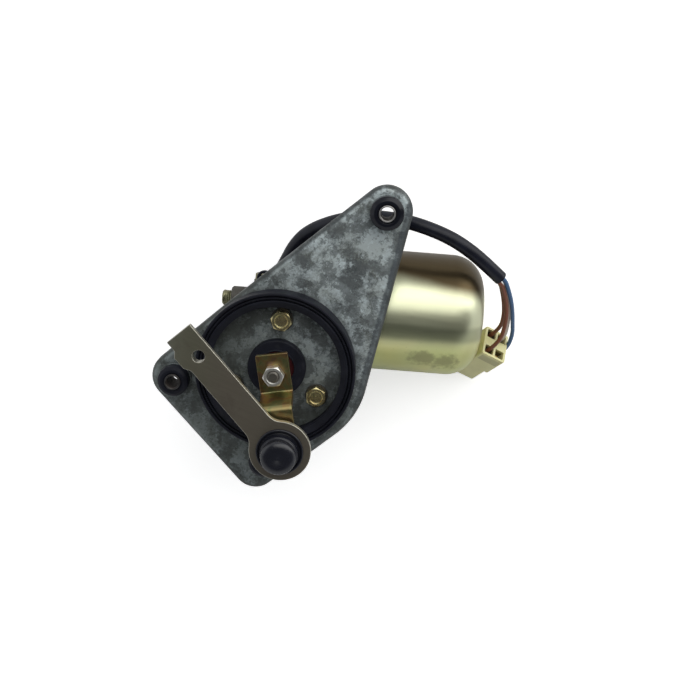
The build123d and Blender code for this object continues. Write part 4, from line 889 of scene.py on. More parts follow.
def link_steel(colours):
    """Oiled steel strip: dull olive and brown faces with rolling marks along it, paler to its far
    end, and bright sheared edges and bores."""
    finish = Finish("bare_steel", Specular_IOR_Level=0.5)
    place = finish.place
    x, y, _ = MOUNTS["left"] - BALL
    turned = place.mapped(Rotation=(0, 0, -math.atan2(y, x)))
    lines = finish.effect("drawn_lines", turned, Stretch=(40.0, 900.0, 900.0))["Height"]
    patch = finish.effect("blotches", Size=14.0, Amount=0.5)["Mask"]
    speck = finish.effect("blotches", Size=1.2, Amount=0.25)["Mask"]
    warm = np.array(colours.link)
    olive = turned.part(0) + noise(place, 60.0, 3.0, 0.5) * (18 * MM)
    base = over(warm, olive.eased(24 * MM, 58 * MM), warm * (0.98, 1.10, 0.98))
    base = over(base, finish.along(0, -38.0, -58.0) * 0.65, warm * (1.62, 1.85, 1.90))
    base = over(base, lines.eased(0.35, 0.65) * 0.16, warm * 1.5)
    base = over(base, patch * 0.30, warm * (0.74, 0.70, 0.70))
    base = over(base, speck * 0.22, warm * 1.5)
    side = abs(finish.facing(2)).eased(0.985, 0.70)
    base = over(base, side * 0.90, (0.60, 0.58, 0.50))
    return finish.done(
        lines, 0.07, 0.05, Base_Color=base, Metallic=side * 0.3 + 0.55,
        Roughness=side * -0.16 + 0.48,
    )


def tube_steel(name, end_tone):
    """The rolled sleeves: bare metal ends as light as the end tone, which is low for the sleeves in
    shade and so paints shade on their ends, and a bore painted dark for the shade inside it, with
    grease stains.
    """
    finish = Finish(name, Specular_IOR_Level=0.25)
    end = finish.facing(2).eased(0.25, 0.75)
    stain = finish.effect("blotches", Size=3.0, Amount=0.5)
    # painted shade inside the bore, with darker blotches of grease
    bore = over((0.070, 0.060, 0.055), stain["Mask"], (0.030, 0.022, 0.020))
    base = over(bore, end, (end_tone, end_tone * 0.98, end_tone * 0.96))
    return finish.done(
        stain["Grain"], 0.2, 0.05, Base_Color=base, Metallic=end, Roughness=end * -0.40 + 0.70
    )


def plain_name(material):
    """A material's name without the number that tells it from the frame's own."""
    return material.name.split(".")[0]


def make_finishes(colours):
    """Every finish that the record's slots name, and a few kinds of the same slot for single
    pieces."""
    EFFECTS.update({name: effect_group(name) for name in EFFECT_KINDS})
    black = np.array(colours.rubber)
    made = [
        galvanised(colours),
        link_steel(colours),
        cast_alloy((0.105, 0.100, 0.088)),
        rubber("black_rubber", black, 0.50),
        rubber("rubber_shiny", black * 0.8, 0.20, specular=0.27, dust=0.05),
        rubber(
            "black_pvc", black * (0.8, 0.85, 1.0), 0.36, grain=0.5, dust=0.05, specular=0.30
        ),
        yellow_zinc("yellow_zinc_steel", (0.40, 0.36, 0.18), (900.0,) * 3, 0.34, brown=0.4),
        yellow_zinc(
            "can_skin", colours.passivation, (45.0, 500.0, 500.0), 0.34, brown=0.10,
            speckled=0.30, can=True,
        ),
        yellow_zinc(
            "crank_skin", (0.32, 0.262, 0.118), (300.0,) * 3, 0.32, brown=0.3, iridescent=0.75,
            relief=0.05,
        ),
        yellow_zinc(
            "bolt_skin", (0.56, 0.51, 0.28), (500.0,) * 3, 0.27, brown=0.3, iridescent=0.3,
            relief=0.03,
        ),
        yellow_zinc(
            "screw_skin", (0.27, 0.25, 0.16), (500.0,) * 3, 0.28, brown=0.4, relief=0.03
        ),
        # one kind of sleeve with lit ends, one with painted shade on its ends for the sleeves in
        # shade
        tube_steel("tube_bright", 0.50),
        tube_steel("tube_dull", 0.12),
        plain_metal("zinc_plated_steel", (0.62, 0.62, 0.61), 0.28),
        plain_metal("nut_skin", (0.70, 0.69, 0.65), 0.36, tarnish=0.25, metallic=0.9),
        plain_metal("spring_steel", (0.085, 0.082, 0.075), 0.42, metallic=0.8),
        plain_metal("shaft_end", (0.150, 0.142, 0.125), 0.50, grain=0.8, metallic=0.85),
        plain_metal("sintered_bronze", (0.36, 0.21, 0.10), 0.5, grain=0.3),
        plain_metal("bearing_steel", (0.60, 0.60, 0.60), 0.16, tarnish=0.1),
        plain_metal("contact_brass", (0.72, 0.52, 0.22), 0.3),
        plain_metal("copper", (0.66, 0.25, 0.11), 0.32),
        plain_metal("lamination_steel", (0.33, 0.33, 0.34), 0.45),
        moulding("socket_plastic", black, 0.27, grime=0.10, grain=0.35, specular=0.55),
        moulding(
            "ivory_plastic", colours.connector, 0.38, subsurface=0.12, grime=0.12, plug=True
        ),
        moulding("brown_pvc", colours.brown_wire, 0.40, grime=0.25),
        moulding("blue_pvc", colours.blue_wire, 0.40, grime=0.25),
        moulding("white_pvc", colours.white_wire, 0.42, grime=0.2),
        moulding("thrust_plastic", (0.75, 0.72, 0.62), 0.4),
        moulding("wheel_plastic", (0.78, 0.74, 0.62), 0.42, subsurface=0.15),
        moulding("cover_plastic", (0.016, 0.017, 0.019), 0.42, grime=0.2),
        moulding("board_resin", (0.20, 0.09, 0.035), 0.5),
        moulding("ferrite", (0.055, 0.055, 0.06), 0.6),
        moulding("carbon", (0.03, 0.03, 0.032), 0.5),
        fibrous("felt", (0.095, 0.010, 0.013)),
        fibrous("gasket_paper", (0.20, 0.13, 0.07), 0.5),
    ]
    FINISHES.update({plain_name(material): material for material in made})


# ==== rubber: seal ring, shaft cap and mounts ====================================
def build_seal(sizes):
    """The seal ring: a broad rounded wall with two grooves round its front face, and a thin lip
    inside it."""
    out = SEAL_GROOVES + GROOVE_RIDGE / 2
    inn = SEAL_GROOVES - GROOVE_RIDGE / 2
    floor = SEAL_HEIGHT - sizes.seal_groove_depth / MM
    foot_inner, foot_outer = CHANNEL_INNER + 0.3, CHANNEL_OUTER - 0.3
    wall = CHANNEL_INNER + 1.3
    profile = corners([
        (foot_inner, -CHANNEL_DEPTH, 0.2), (foot_outer, -CHANNEL_DEPTH, 0.2),
        (foot_outer, 0.15, 0.0), (SEAL_OUTER - 0.05, 0.15, 0.4), (SEAL_OUTER, SEAL_HEIGHT, 1.3),
        (out + GROOVE_WIDTH, SEAL_HEIGHT, 0.35), (out + GROOVE_WIDTH * 0.75, floor, 0.3),
        (out + GROOVE_WIDTH * 0.1, floor, 0.25), (out, SEAL_HEIGHT - 0.2, 0.3),
        (inn, SEAL_HEIGHT - 0.2, 0.3), (inn - GROOVE_WIDTH * 0.1, floor, 0.25),
        (inn - GROOVE_WIDTH * 0.75, floor, 0.3), (inn - GROOVE_WIDTH, SEAL_HEIGHT - 0.1, 0.35),
        (inn - GROOVE_WIDTH * 2, SEAL_HEIGHT - 0.4, 0.8), (SEAL_LIP, SEAL_HEIGHT - 2.0, 0.5),
        (SEAL_LIP, SEAL_HEIGHT - 3.4, 0.4), (wall, SEAL_HEIGHT - 5.4, 1.0), (wall, 1.4, 0.8),
        (foot_inner, 0.4, 0.3),
    ])
    seal = lathe("seal_ring_rubber", profile, SHAFT, "Z", "black_rubber", 256, closed=True)
    dressed(seal, "motor", "black_rubber", "seal_ring")


def build_shaft_cap():
    """The cap round the output shaft: a flat face, a raised lip at its bore and a rounded rim."""
    seat, seat_height = CAP_SEAT
    profile = corners([
        (seat, 0.0, 0.0), (CAP_RADIUS, 0.0, 0.2), (CAP_RADIUS, CAP_HEIGHT, 1.1),
        (CAP_BORE + 0.9, CAP_HEIGHT - 0.15, 0.3), (CAP_BORE + 0.5, CAP_HEIGHT, 0.25),
        (CAP_BORE, CAP_HEIGHT, 0.25), (CAP_BORE, seat_height, 0.1), (seat, seat_height, 0.0),
    ])
    cap = lathe("shaft_cap_rubber", profile, SHAFT, "Z", "black_rubber", 160, closed=True)
    dressed(cap, "motor", "black_rubber", "shaft_seal_cap")


def build_mounts(sizes):
    """Each mount: a rubber grommet with a crowned flange each side of the plate, and its rolled
    steel sleeve."""
    outside = SLEEVE_BORE + SLEEVE_WALL
    foot, top = GROMMET_ENDS
    back, face = PLATE_FACES
    recess, recess_height = GROMMET_RECESS
    crown = top - sizes.grommet_crown / MM
    low, high = SLEEVE_ENDS
    tube = [(SLEEVE_BORE, low), (outside, low), (outside, high), (SLEEVE_BORE, high)]
    tube = rounded(tube, 0.22, 4, closed=True)
    for place, spot in MOUNTS.items():
        is_top = place == "top"
        flange = GROMMET_TOP_FLANGE if is_top else GROMMET_FLANGE
        profile = corners([
            (outside + 0.05, foot, 0.3), (GROMMET_FLANGE, foot, 1.3),
            (GROMMET_FLANGE, back, 0.5), (PLATE_HOLE, back, 0.2), (PLATE_HOLE, face, 0.2),
            (flange, face, 0.5), (flange, crown, 1.2), (6.6, top, 0.9), (5.2, top, 0.35),
            (recess, recess_height, 0.2), (outside + 0.05, recess_height, 0.15),
        ])
        skin = "rubber_shiny" if is_top else "black_rubber"
        grommet = lathe("grommet_rubber_" + place, profile, spot, "Z", skin, 120, closed=True)
        dressed(grommet, "motor", "black_rubber", "grommet_" + place)
        # the top sleeve's ends are lit; the left and bottom sleeves' ends get painted shade
        ends = "tube_bright" if is_top else "tube_dull"
        sleeve = lathe("sleeve_tube_" + place, tube, spot, "Z", ends, 96, closed=True)
        dressed(sleeve, "motor", "zinc_plated_steel", "spacer_sleeve_" + place)


# ==== fasteners ==================================================================
def bolt_places():
    """The plate bolts' places, evenly round their circle."""
    turn = np.radians(BOLT_START + 360 / BOLT_COUNT * np.arange(BOLT_COUNT))
    return BOLT_CIRCLE * np.stack([np.cos(turn), np.sin(turn), turn * 0], 1)


def bolt_inside(flats, top, dish):
    """The profile inside a forged head's top face: a raised rim and a dished middle."""
    points = [
        (flats * 0.40, top), (flats * 0.36, top), (flats * 0.33, top - dish),
        (0.0, top - dish * 0.8),
    ]
    return rounded(points, [0.1, 0.25, 0.4, 0.0], 4)


def build_screw(kind, suffix, node, place, axis, foot, dish, phase):
    """A forged hexagon head that stands for its node, and a turned shank under it that is drawn in
    to its point over a chamfer."""
    flats, height, finish, radius, point, low, chamfer, segments = SCREWS[kind]
    top, neck = foot + height, foot + 0.05
    inside = bolt_inside(flats, top, dish)
    name = f"{kind}_head{suffix}"
    head = hexagon(name, flats, foot, top, inside, place, axis, finish, phase)
    dressed(head, "motor", "yellow_zinc_steel", node)
    profile = [(0, low), (point, low), (radius, low + chamfer), (radius, neck), (0, neck)]
    profile = rounded(profile, 0.1, 3)
    shank = lathe(f"{kind}_shank{suffix}", profile, place, axis, "bolt_skin", segments)
    dressed(shank, "motor", "yellow_zinc_steel")


def build_bolts(sizes):
    """The three plate bolts in the casting, each turned a little further than the one before."""
    dish = sizes.bolt_dish / MM
    for number, place in enumerate(bolt_places()):
        turn = 0.35 + 0.9 * number
        build_screw(
            "plate_bolt", f"_{number}", "plate_bolts", place, "Z", BOLT_FOOT, dish, turn
        )


def build_washers(sizes):
    """Split spring washers: a rounded section carried along most of a circle, rising by the
    split's lead."""
    lead = sizes.washer_lead / MM
    gap = WASHER_GAP / WASHER_RADIUS
    low, high = 0.02, BOLT_FOOT - 0.04 - lead
    section = [(WASHER_BORE, low), (WASHER_RADIUS, low), (WASHER_RADIUS, high), (WASHER_BORE, high)]
    section = rounded(section, 0.2, 4, closed=True)
    for number, place in enumerate(bolt_places()):
        start = 0.8 + 1.9 * number
        turn = np.linspace(start + gap / 2, start + 2 * np.pi - gap / 2, 90)
        out = np.stack([np.cos(turn), np.sin(turn), turn * 0], 1)
        up = np.broadcast_to((0, 0, 1.0), out.shape)
        path = place + np.linspace(0, lead, len(turn))[:, None] * up
        washer = carried(f"spring_washer_{number}", section, path, out, up, "spring_steel")
        dressed(washer, "motor", "zinc_plated_steel", "plate_washers")


def build_crank_nut():
    """The crank's nut, chamfered on both faces and countersunk; its thread's radius goes out and
    in by the thread's depth at every step down."""
    top = NUT_BOTTOM + NUT_HEIGHT
    bore = M6_RADIUS + 0.03
    steps = np.arange(17)
    thread = np.stack([bore + THREAD_DEPTH * (steps % 2), top - 0.9 - THREAD_STEP * steps], 1)
    inner = np.concatenate([
        [(4.1, top), (bore + 0.62, top), (bore, top - 0.6)], thread, [(bore, NUT_BOTTOM)],
    ])
    nut = hexagon(
        "crank_nut_hexagon", M6_FLATS, NUT_BOTTOM, top, inner, SHAFT, "Z", "nut_skin",
        math.radians(NUT_TURN), both_ends=True,
    )
    dressed(nut, "crank", "zinc_plated_steel", "crank_nut")


def build_thrust_screw():
    """The thrust adjuster: a socketed end and a thread whose radius steps between crest and
    root at every half pitch."""
    heights = np.arange(1.1, THRUST_LENGTH - 0.15, THRUST_PITCH / 2)
    is_root = np.arange(len(heights)) % 2
    thread = np.stack([THRUST_RADIUS - np.where(is_root, THRUST_DEPTH, 0.02), heights], 1)
    outline = np.concatenate([
        [(0, 3.1), (1.9, 3.1), (2.3, 0.5), (2.6, 0.02)],
        [(THRUST_RADIUS - 0.75, 0.02), (THRUST_RADIUS - 0.05, 0.7)],
        thread, [(THRUST_RADIUS - 0.4, THRUST_LENGTH), (0, THRUST_LENGTH)],
    ])
    place = MOTOR + (THRUST_LEFT, 0, 0)
    adjuster = lathe("thrust_adjuster", outline, place, "X", "screw_skin", 96, smooth_angle=25)
    dressed(adjuster, "motor", "yellow_zinc_steel", "thrust_screw")


def build_motor_screws():
    """The can's two screws, the thrust adjuster and the earth screw."""
    for number, side in enumerate((1, -1)):
        place = MOTOR + (CAN_OPEN + CAN_WALL, side * EAR_OFFSET, 0)
        build_screw("can_screw", f"_{number}", "can_screws", place, "X", 0.0, 0.3, 0.2)
    build_thrust_screw()
    place = np.array((EARTH_X, EARTH_SEAT + EARTH_TAG, MOTOR[2]))
    build_screw("earth_screw", "", "earth_screw", place, "Y", 0.0, 0.35, 0.4)


# ==== ball socket ================================================================
def build_socket(sizes):
    """The moulded socket: a hollow round the ball, a flange on the link's face, a stepped body
    and a cap. The hollow's point at angle t is seat (cos t, sin t) above the ball's middle, and the
    cap's rim is a quarter of an ellipse, as deep as its crown, with a tiny gate mark inside."""
    crown = sizes.cap_crown / MM
    foot = BALL_HEIGHT - math.sqrt(SOCKET_SEAT ** 2 - SOCKET_MOUTH ** 2)
    bowl = np.linspace(math.pi / 2, -math.acos(SOCKET_MOUTH / SOCKET_SEAT), 18)
    hollow = SOCKET_SEAT * np.stack([np.cos(bowl), np.sin(bowl)], 1) + (0, BALL_HEIGHT)
    lower, collar = SOCKET_BODY + 0.9, SOCKET_BODY - 0.2
    outside = corners([
        (SOCKET_MOUTH, foot, 0.0), (7.0, 31.62, 0.3), (lower, 31.62, 0.4),
        (lower, LINK_BOTTOM, 0.0), (collar, LINK_BOTTOM, 0.0), (collar, LINK_TOP + 0.02, 0.0),
        (SOCKET_FLANGE, LINK_TOP + 0.02, 0.15), (SOCKET_FLANGE, LINK_TOP + 1.8, 0.65),
        (SOCKET_BODY + 1.5, LINK_TOP + 1.8, 0.4), (SOCKET_BODY + 1.0, LINK_TOP + 0.7, 0.3),
        (SOCKET_BODY, LINK_TOP + 0.7, 0.3), (SOCKET_BODY, LINK_TOP + 5.6, 0.45),
        (SOCKET_CAP + 0.25, LINK_TOP + 5.75, 0.12), (SOCKET_CAP, LINK_TOP + 6.0, 0.0),
    ], 6, closed=False)
    turn = np.linspace(0, np.pi / 2, 16)
    dome = np.stack([
        SOCKET_CAP - SOCKET_DOME * (1 - np.cos(turn)),
        SOCKET_TOP - 0.12 - crown * (1 - np.sin(turn)),
    ], 1)
    gate = [(0.75, SOCKET_TOP - 0.10), (0.60, SOCKET_TOP - 0.02), (0.0, SOCKET_TOP)]
    profile = np.concatenate([hollow, outside, dome, gate])
    socket = lathe("ball_socket_moulding", profile, BALL, "Z", "socket_plastic", 160)
    dressed(socket, "link", "socket_plastic", "ball_socket")


# ==== motor can ==================================================================
def can_shoulder(radius):
    """A quarter round from the can's wall to its end: the point at angle t is
    (flat + r cos t, end - shoulder + r sin t)."""
    quarter = np.linspace(0, np.pi / 2, 26)[:, None]
    middle_radius = CAN_RADIUS - CAN_SHOULDER
    across = middle_radius + radius * np.cos(quarter)
    return np.concatenate([across, CAN_END - CAN_SHOULDER + radius * np.sin(quarter)], 1)


def build_can(sizes):
    """The drawn can: a straight wall, a quarter-round shoulder, and an end with a bearing boss
    pressed in it; its flange is an eared plate at the open end."""
    ring = CAN_END - sizes.can_boss / MM
    centre = corners([
        (CAN_RADIUS - CAN_SHOULDER, CAN_END, 0.0), (BOSS_RIM, CAN_END, 0.5),
        (BOSS_RING[0], ring, 0.5), (BOSS_RING[1], ring, 0.5),
        (BOSS_MIDDLE, CAN_END - 0.05, 0.7), (0.0, CAN_END - 0.02, 0.0),
    ], 8, closed=False)
    profile = np.concatenate([
        [(CAN_RADIUS - CAN_WALL, CAN_OPEN), (CAN_RADIUS, CAN_OPEN)],
        can_shoulder(CAN_SHOULDER), centre, [(0.0, CAN_END - CAN_WALL)],
        can_shoulder(CAN_SHOULDER - CAN_WALL)[::-1],
    ])
    shell = lathe("can_shell", profile, MOTOR, "X", "can_skin", 256, smooth_angle=32)
    dressed(shell, "motor", "yellow_zinc_steel", "motor_can")
    flange = slab(
        "can_flange", eared_outline(CAN_RADIUS - 0.05, EAR_OFFSET, EAR_RADIUS),
        [(0.02, 0.15), (0.15, 0.0), (1.4, 0.0), (1.75, 0.12), (1.98, 0.5)],
        "X", MOTOR + (CAN_OPEN, 0, 0), "can_skin",
    )
    dressed(flange, "motor", "yellow_zinc_steel")


def eared_outline(radius, offset, ear):
    """A circle with two ears. At each turn it reaches as far as the circle, or as the furthest of
    the circles that shrink from three ears' width at the middle to an ear's at its offset."""
    turn = np.linspace(0, 2 * np.pi, 360, endpoint=False)
    ray = np.stack([np.cos(turn), np.sin(turn)], 1)
    reach = np.full(len(turn), radius)
    share = np.linspace(0, 1, 60)[:, None]
    size = ear * (3 - 2 * share)
    for side in (1, -1):
        middle_x = side * offset * share
        along = ray[:, 0] * middle_x
        across = along ** 2 - middle_x ** 2 + size ** 2
        hit = np.where(across > 0, along + np.sqrt(np.maximum(across, 0)), 0)
        reach = np.maximum(reach, hit.max(0))
    return ray * reach[:, None]


# ==== harness ====================================================================
def cord_curve(name, points, radius, finish):
    """A cord as one open NURBS spline of order 3, with its route's points to steer it."""
    curve = bpy.data.curves.new(name, "CURVE")
    curve.dimensions = "3D"
    spline = curve.splines.new("NURBS")
    spline.points.add(len(points) - 1)
    rows = np.concatenate([np.asarray(points, float) * MM, np.ones((len(points), 1))], 1)
    spline.points.foreach_set("co", rows.ravel())
    spline.order_u = 3
    spline.use_endpoint_u = True
    spline.resolution_u = 10
    curve.bevel_depth = radius * MM
    curve.bevel_resolution = 8
    curve.use_fill_caps = True
    return placed(name, curve, finish)


def wire_route(start, cavity, top, entry, middle_points):
    """Out of the sleeve's mouth, by way of the middle points, and down into the cavity."""
    mouth = np.array(HARNESS[-1])
    heading = unit(mouth - np.array(HARNESS[-2]))
    across = unit(np.cross((0, 0, 1), heading))
    up = np.cross(heading, across)
    leaving = mouth + start[0] * across + start[1] * up
    plug_x, plug_y, plug_z = plug_axes()
    seat = POCKET if cavity is None else np.multiply(CAVITY, cavity)
    column = np.array(PLUG_ORIGIN) + seat[0] * plug_x + seat[1] * plug_y
    ends = [column + (entry - top) * plug_z, column + (WIRE_SEAT - top) * plug_z]
    return [leaving, leaving + WIRE_EXIT * heading, *middle_points, *ends]


def build_cords():
    """The sleeve and its four wires."""
    sleeve = cord_curve("harness_sleeve_cord", HARNESS, HARNESS_RADIUS, "black_pvc")
    dressed(sleeve, "motor", "black_pvc", "harness_sleeve")
    for name, (start, cavity, top, entry, length, points) in WIRES.items():
        slot = name.split("_")[1] + "_pvc"
        route = wire_route(start, cavity, top, entry, points)
        wire = cord_curve(name + "_cord", route, WIRE_RADIUS, slot)
        dressed(wire, "motor", slot, name)
        route[0] * MM


def build_earth_lead():
    """The short earth lead, from the tag's crimp over the screw and down onto the tunnel."""
    lead = cord_curve("earth_lead_wire", EARTH_LEAD, EARTH_RADIUS, "black_pvc")
    dressed(lead, "motor", "black_pvc", "earth_lead")


# ==== finishes on the frame's own nodes ==========================================
NODE_FINISH = {"crank_arm": "crank_skin", "earth_tag": "screw_skin", "output_shaft": "shaft_end"}


def dress_nodes():
    """Every node of the frame gets the finish of its slot, or its own kind of it."""
    for name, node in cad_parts.items():
        for place in node.material_slots:
            place.material = FINISHES[NODE_FINISH.get(name, plain_name(place.material))]


SOFTENED = {
    # node: bevel in millimetres, body, slot, finish
    "link_arm": (0.65, "link", "bare_steel", "bare_steel"),
    "crank_arm": (0.30, "crank", "yellow_zinc_steel", "crank_skin"),
    "connector": (0.30, "motor", "ivory_plastic", "ivory_plastic"),
    "gear_housing": (0.45, "motor", "cast_alloy", "cast_alloy"),
    "gear_cover": (0.50, "motor", "cover_plastic", "cover_plastic"),
    "earth_tag": (0.12, "motor", "yellow_zinc_steel", "screw_skin"),
}


def soften_nodes():
    """Pressed, cast and moulded nodes are shown by copies whose edges are rounded."""
    for node, how in SOFTENED.items():
        softened(node, *how)


# ==== stage ======================================================================
CAMERA_PLACE = (0.0421, 0.1399, 0.4757)
CAMERA_RIGHT = (0.9969, 0.0741, -0.0273)
CAMERA_UP = (-0.0786, 0.9630, -0.2578)
CAMERA_BACK = (0.0072, 0.2591, 0.9658)
CAMERA_LENS = 47.21
SENSOR = 36.0
FLOOR_HALF = 0.9
FLOOR_GAP = 0.0002
SKY_COLOUR = (0.97, 0.985, 1.0, 1.0)


def hold(name, data, right, up, back, place):
    """An object for a camera or a lamp, by its own axes and its place."""
    holder = bpy.data.objects.new(name, data)
    rows = np.stack([right, up, back, place], 1)
    holder.matrix_world = Matrix(np.vstack([rows, (0, 0, 0, 1)]).tolist())
    bpy.context.scene.collection.objects.link(holder)
    return holder


def build_camera():
    """The camera at its fixed place."""
    camera = bpy.data.cameras.new("camera")
    camera.lens = CAMERA_LENS
    camera.sensor_width = SENSOR
    camera.clip_start = 0.01
    bpy.context.scene.camera = hold(
        "camera", camera, CAMERA_RIGHT, CAMERA_UP, CAMERA_BACK, CAMERA_PLACE
    )


def build_world(light):
    """Pale walls all round and a long darker ceiling, in one smooth step of the height that is
    looked at, which counts the x direction for a third."""
    world = bpy.data.worlds.new("studio")
    bpy.context.scene.world = world
    world.use_nodes = True
    tree = world.node_tree
    tree.nodes.clear()
    heading = put(tree, "ShaderNodeTexCoord", output="Generated")
    height = heading.vector("MULTIPLY", (0.35, 1.0, 1.0)).vector("NORMALIZE").part(2)
    strength = height.eased(0.62, 0.84, light.walls, light.ceiling)
    sky = put(tree, "ShaderNodeBackground", {"Color": SKY_COLOUR, "Strength": strength})
    connect(tree.nodes.new("ShaderNodeOutputWorld"), {"Surface": sky})


def build_lamp(name, place, target, width, height, power, colour):
    """A rectangular lamp at a place, turned towards its target."""
    lamp = bpy.data.lights.new(name, "AREA")
    lamp.shape = "RECTANGLE"
    lamp.size = width
    lamp.size_y = height
    lamp.energy = power
    lamp.color = colour
    back = unit(np.array(place) - np.array(target))
    right = unit(np.cross((0, 1, 0), back))
    hold(name, lamp, right, np.cross(back, right), back, place)


def build_floor(colours):
    """A plain pale floor just under the part, which the camera sees as white but for the part's
    shadow."""
    mesh = bpy.data.meshes.new("floor")
    x, z = FLOOR_HALF, FLOOR * MM - FLOOR_GAP
    mesh.from_pydata([(-x, -x, z), (x, -x, z), (x, x, z), (-x, x, z)], [], [(0, 1, 2, 3)])
    finish = Finish("pale_floor", Roughness=0.9, Specular_IOR_Level=0.2)
    camera, glossy, through = (
        put(finish.tree, "ShaderNodeLightPath", output=f"Is {ray} Ray")
        for ray in ("Camera", "Glossy", "Transmission")
    )
    pale = np.array(colours.floor)
    tone = over(pale * 0.98, noise(finish.place, 40.0, 3.0, 0.5), pale)
    base = over(tone, most(camera, glossy, through), (1.0, 1.0, 1.0))
    FINISHES["pale_floor"] = finish.done(
        Base_Color=base, Emission_Color=base, Emission_Strength=camera * 0.55
    )
    placed("floor", mesh, "pale_floor")


def build_stage(colours, light):
    """The camera, the light all round, the floor and the two soft panels."""
    bpy.context.scene.view_settings.view_transform = "Standard"
    build_camera()
    build_world(light)
    build_floor(colours)
    build_lamp(
        "key_panel", (0.62, 0.80, 0.66), (0.06, 0.02, -0.03), 2.9, 1.0, light.key,
        (1.0, 0.99, 0.96),
    )
    build_lamp(
        "side_panel", (-0.75, 0.15, 0.45), (0.0, 0.0, 0.0), 0.5, 0.7, light.side,
        (0.92, 0.96, 1.0),
    )


# ==== add-on =====================================================================
def measure(label, about, default, low, high):
    """A size in metres from values in millimetres."""
    return bpy.props.FloatProperty(
        name=label, description=about, default=default * MM, min=low * MM, max=high * MM,
        unit="LENGTH", precision=5,
    )


def tint(label, about, default):
    """A colour."""
    return bpy.props.FloatVectorProperty(
        name=label, description=about, default=default, size=3, min=0, max=1, subtype="COLOR"
    )


def brightness(label, about, default, unit="NONE"):
    """A light's power or a surrounding brightness."""
    return bpy.props.FloatProperty(
        name=label, description=about, default=default, min=0, unit=unit
    )


class WiperMotorSizes(bpy.types.PropertyGroup):
    """Sizes that can be changed without the frame."""
    seal_groove_depth: measure(
        "Seal grooves", "Depth of the two grooves round the seal ring's front", 1.7, 0.2, 3
    )
    grommet_crown: measure(
        "Grommet crown", "How far a grommet's flange rises to its crown", 1.3, 0, 2
    )
    bolt_dish: measure("Bolt dish", "Depth of the dish in a forged bolt head", 0.55, 0, 1.5)
    washer_lead: measure(
        "Washer lead", "How far a spring washer's ends stand apart", 0.35, 0, 0.8
    )
    cap_crown: measure(
        "Cap crown", "Depth of the rounded edge of the ball socket's cap", 2.6, 0.5, 5
    )
    can_boss: measure(
        "Can boss", "Depth of the ring pressed round the can's bearing boss", 1.4, 0, 1.9
    )


class WiperMotorColours(bpy.types.PropertyGroup):
    """Colours of the main finishes and of the floor."""
    zinc: tint("Zinc", "Middle tone of the hot-dipped plate", (0.285, 0.325, 0.335))
    passivation: tint("Passivation", "Yellow passivation of the can", (0.70, 0.69, 0.33))
    rubber: tint("Rubber", "Seal ring, grommets and sleeve", (0.0095, 0.0105, 0.0165))
    link: tint("Link", "Oiled steel of the link", (0.128, 0.113, 0.088))
    connector: tint("Connector", "Moulding of the connector", (0.76, 0.73, 0.38))
    brown_wire: tint("Brown wires", "Insulation of the two brown wires", (0.19, 0.060, 0.030))
    blue_wire: tint("Blue wire", "Insulation of the blue wire", (0.055, 0.13, 0.27))
    white_wire: tint("White wire", "Insulation of the pale wire", (0.72, 0.62, 0.56))
    floor: tint("Floor", "Pale floor of the stage", (0.80, 0.80, 0.79))


class WiperMotorLight(bpy.types.PropertyGroup):
    """Strengths of the lamps and of the light all round."""
    key: brightness("Key", "Power of the large soft panel", 16.2, "POWER")
    side: brightness("Side", "Power of the small side panel", 0.8, "POWER")
    walls: brightness("Walls", "Brightness of the surrounding light up to the ceiling", 0.70)
    ceiling: brightness("Ceiling", "Brightness of the surrounding light overhead", 0.07)


class WIPER_OT_stage(bpy.types.Operator):
    """Makes the camera, the pale floor and the soft light."""
    bl_idname = "wiper.stage"
    bl_label = "Stage"

    def execute(self, context):
        build_stage(context.scene.wiper_colours, context.scene.wiper_light)
        return {"FINISHED"}


class WIPER_OT_finishes(bpy.types.Operator):
    """Makes every finish and puts the slots' finishes on the frame's nodes."""
    bl_idname = "wiper.finishes"
    bl_label = "Finishes"

    def execute(self, context):
        make_finishes(context.scene.wiper_colours)
        dress_nodes()
        return {"FINISHED"}


class WIPER_OT_edges(bpy.types.Operator):
    """Rounds the edges of the pressed, cast and moulded nodes."""
    bl_idname = "wiper.edges"
    bl_label = "Rounded edges"

    def execute(self, context):
        soften_nodes()
        return {"FINISHED"}


class WIPER_OT_harness(bpy.types.Operator):
    """Lays the sleeve, its four wires and the earth lead."""
    bl_idname = "wiper.harness"
    bl_label = "Harness"

    def execute(self, context):
        build_cords()
        build_earth_lead()
        return {"FINISHED"}


class WIPER_OT_rubber(bpy.types.Operator):
    """Makes the seal ring, the shaft's cap and the three mounts."""
    bl_idname = "wiper.rubber"
    bl_label = "Rubber pieces"

    def execute(self, context):
        sizes = context.scene.wiper_sizes
        build_seal(sizes)
        build_shaft_cap()
        build_mounts(sizes)
        return {"FINISHED"}


class WIPER_OT_fasteners(bpy.types.Operator):
    """Makes the bolts, spring washers, nut and screws."""
    bl_idname = "wiper.fasteners"
    bl_label = "Fasteners"

    def execute(self, context):
        sizes = context.scene.wiper_sizes
        build_bolts(sizes)
        build_washers(sizes)
        build_crank_nut()
        build_motor_screws()
        return {"FINISHED"}


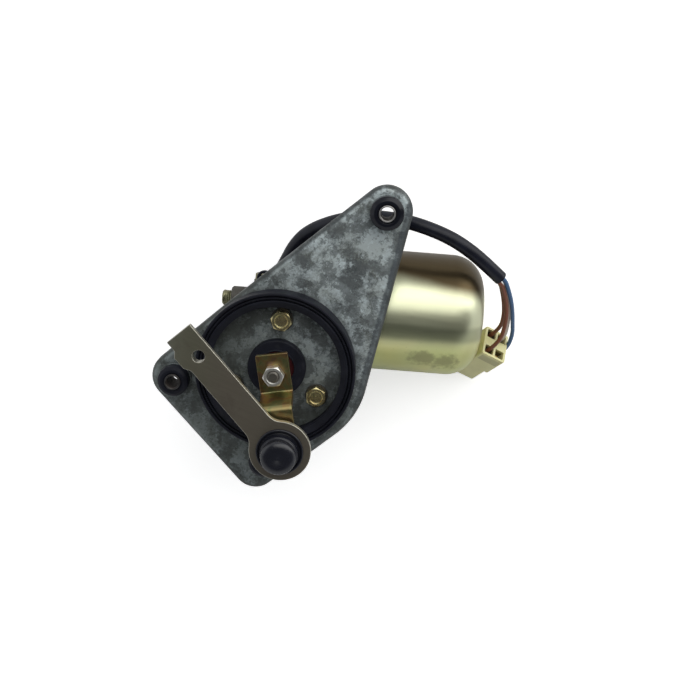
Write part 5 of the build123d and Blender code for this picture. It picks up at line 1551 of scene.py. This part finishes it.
class WIPER_OT_socket(bpy.types.Operator):
    """Makes the link's moulded ball socket."""
    bl_idname = "wiper.socket"
    bl_label = "Ball socket"

    def execute(self, context):
        build_socket(context.scene.wiper_sizes)
        return {"FINISHED"}


class WIPER_OT_can(bpy.types.Operator):
    """Makes the drawn motor can and its flange."""
    bl_idname = "wiper.can"
    bl_label = "Motor can"

    def execute(self, context):
        build_can(context.scene.wiper_sizes)
        return {"FINISHED"}


class WIPER_PT_panel(bpy.types.Panel):
    """Lists the sizes, the colours, the light and the steps of the wiper motor."""
    bl_idname = "WIPER_PT_panel"
    bl_label = "Wiper motor"
    bl_space_type = "VIEW_3D"
    bl_region_type = "UI"
    bl_category = "Wiper motor"

    def draw(self, context):
        for name, group in GROUPS.items():
            box = self.layout.box()
            for key in group.__annotations__:
                box.prop(getattr(context.scene, name), key)
        for step in STEPS:
            self.layout.operator(step.bl_idname)


STEPS = (
    WIPER_OT_stage, WIPER_OT_finishes, WIPER_OT_edges, WIPER_OT_harness, WIPER_OT_rubber,
    WIPER_OT_fasteners, WIPER_OT_socket, WIPER_OT_can,
)
GROUPS = {
    "wiper_sizes": WiperMotorSizes, "wiper_colours": WiperMotorColours,
    "wiper_light": WiperMotorLight,
}
CLASSES = (*GROUPS.values(), *STEPS, WIPER_PT_panel)


def register():
    """Registers every class and hangs the property groups on the scene."""
    for kind in CLASSES:
        bpy.utils.register_class(kind)
    for name, kind in GROUPS.items():
        setattr(bpy.types.Scene, name, bpy.props.PointerProperty(type=kind))


def unregister():
    """Takes off again what register put on."""
    for name in GROUPS:
        delattr(bpy.types.Scene, name)
    for kind in reversed(CLASSES):
        bpy.utils.unregister_class(kind)


def main():
    """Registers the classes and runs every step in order."""
    register()
    bpy.ops.wiper.stage()
    bpy.ops.wiper.finishes()
    bpy.ops.wiper.edges()
    bpy.ops.wiper.harness()
    bpy.ops.wiper.rubber()
    bpy.ops.wiper.fasteners()
    bpy.ops.wiper.socket()
    bpy.ops.wiper.can()


if __name__ == "__main__":
    main()
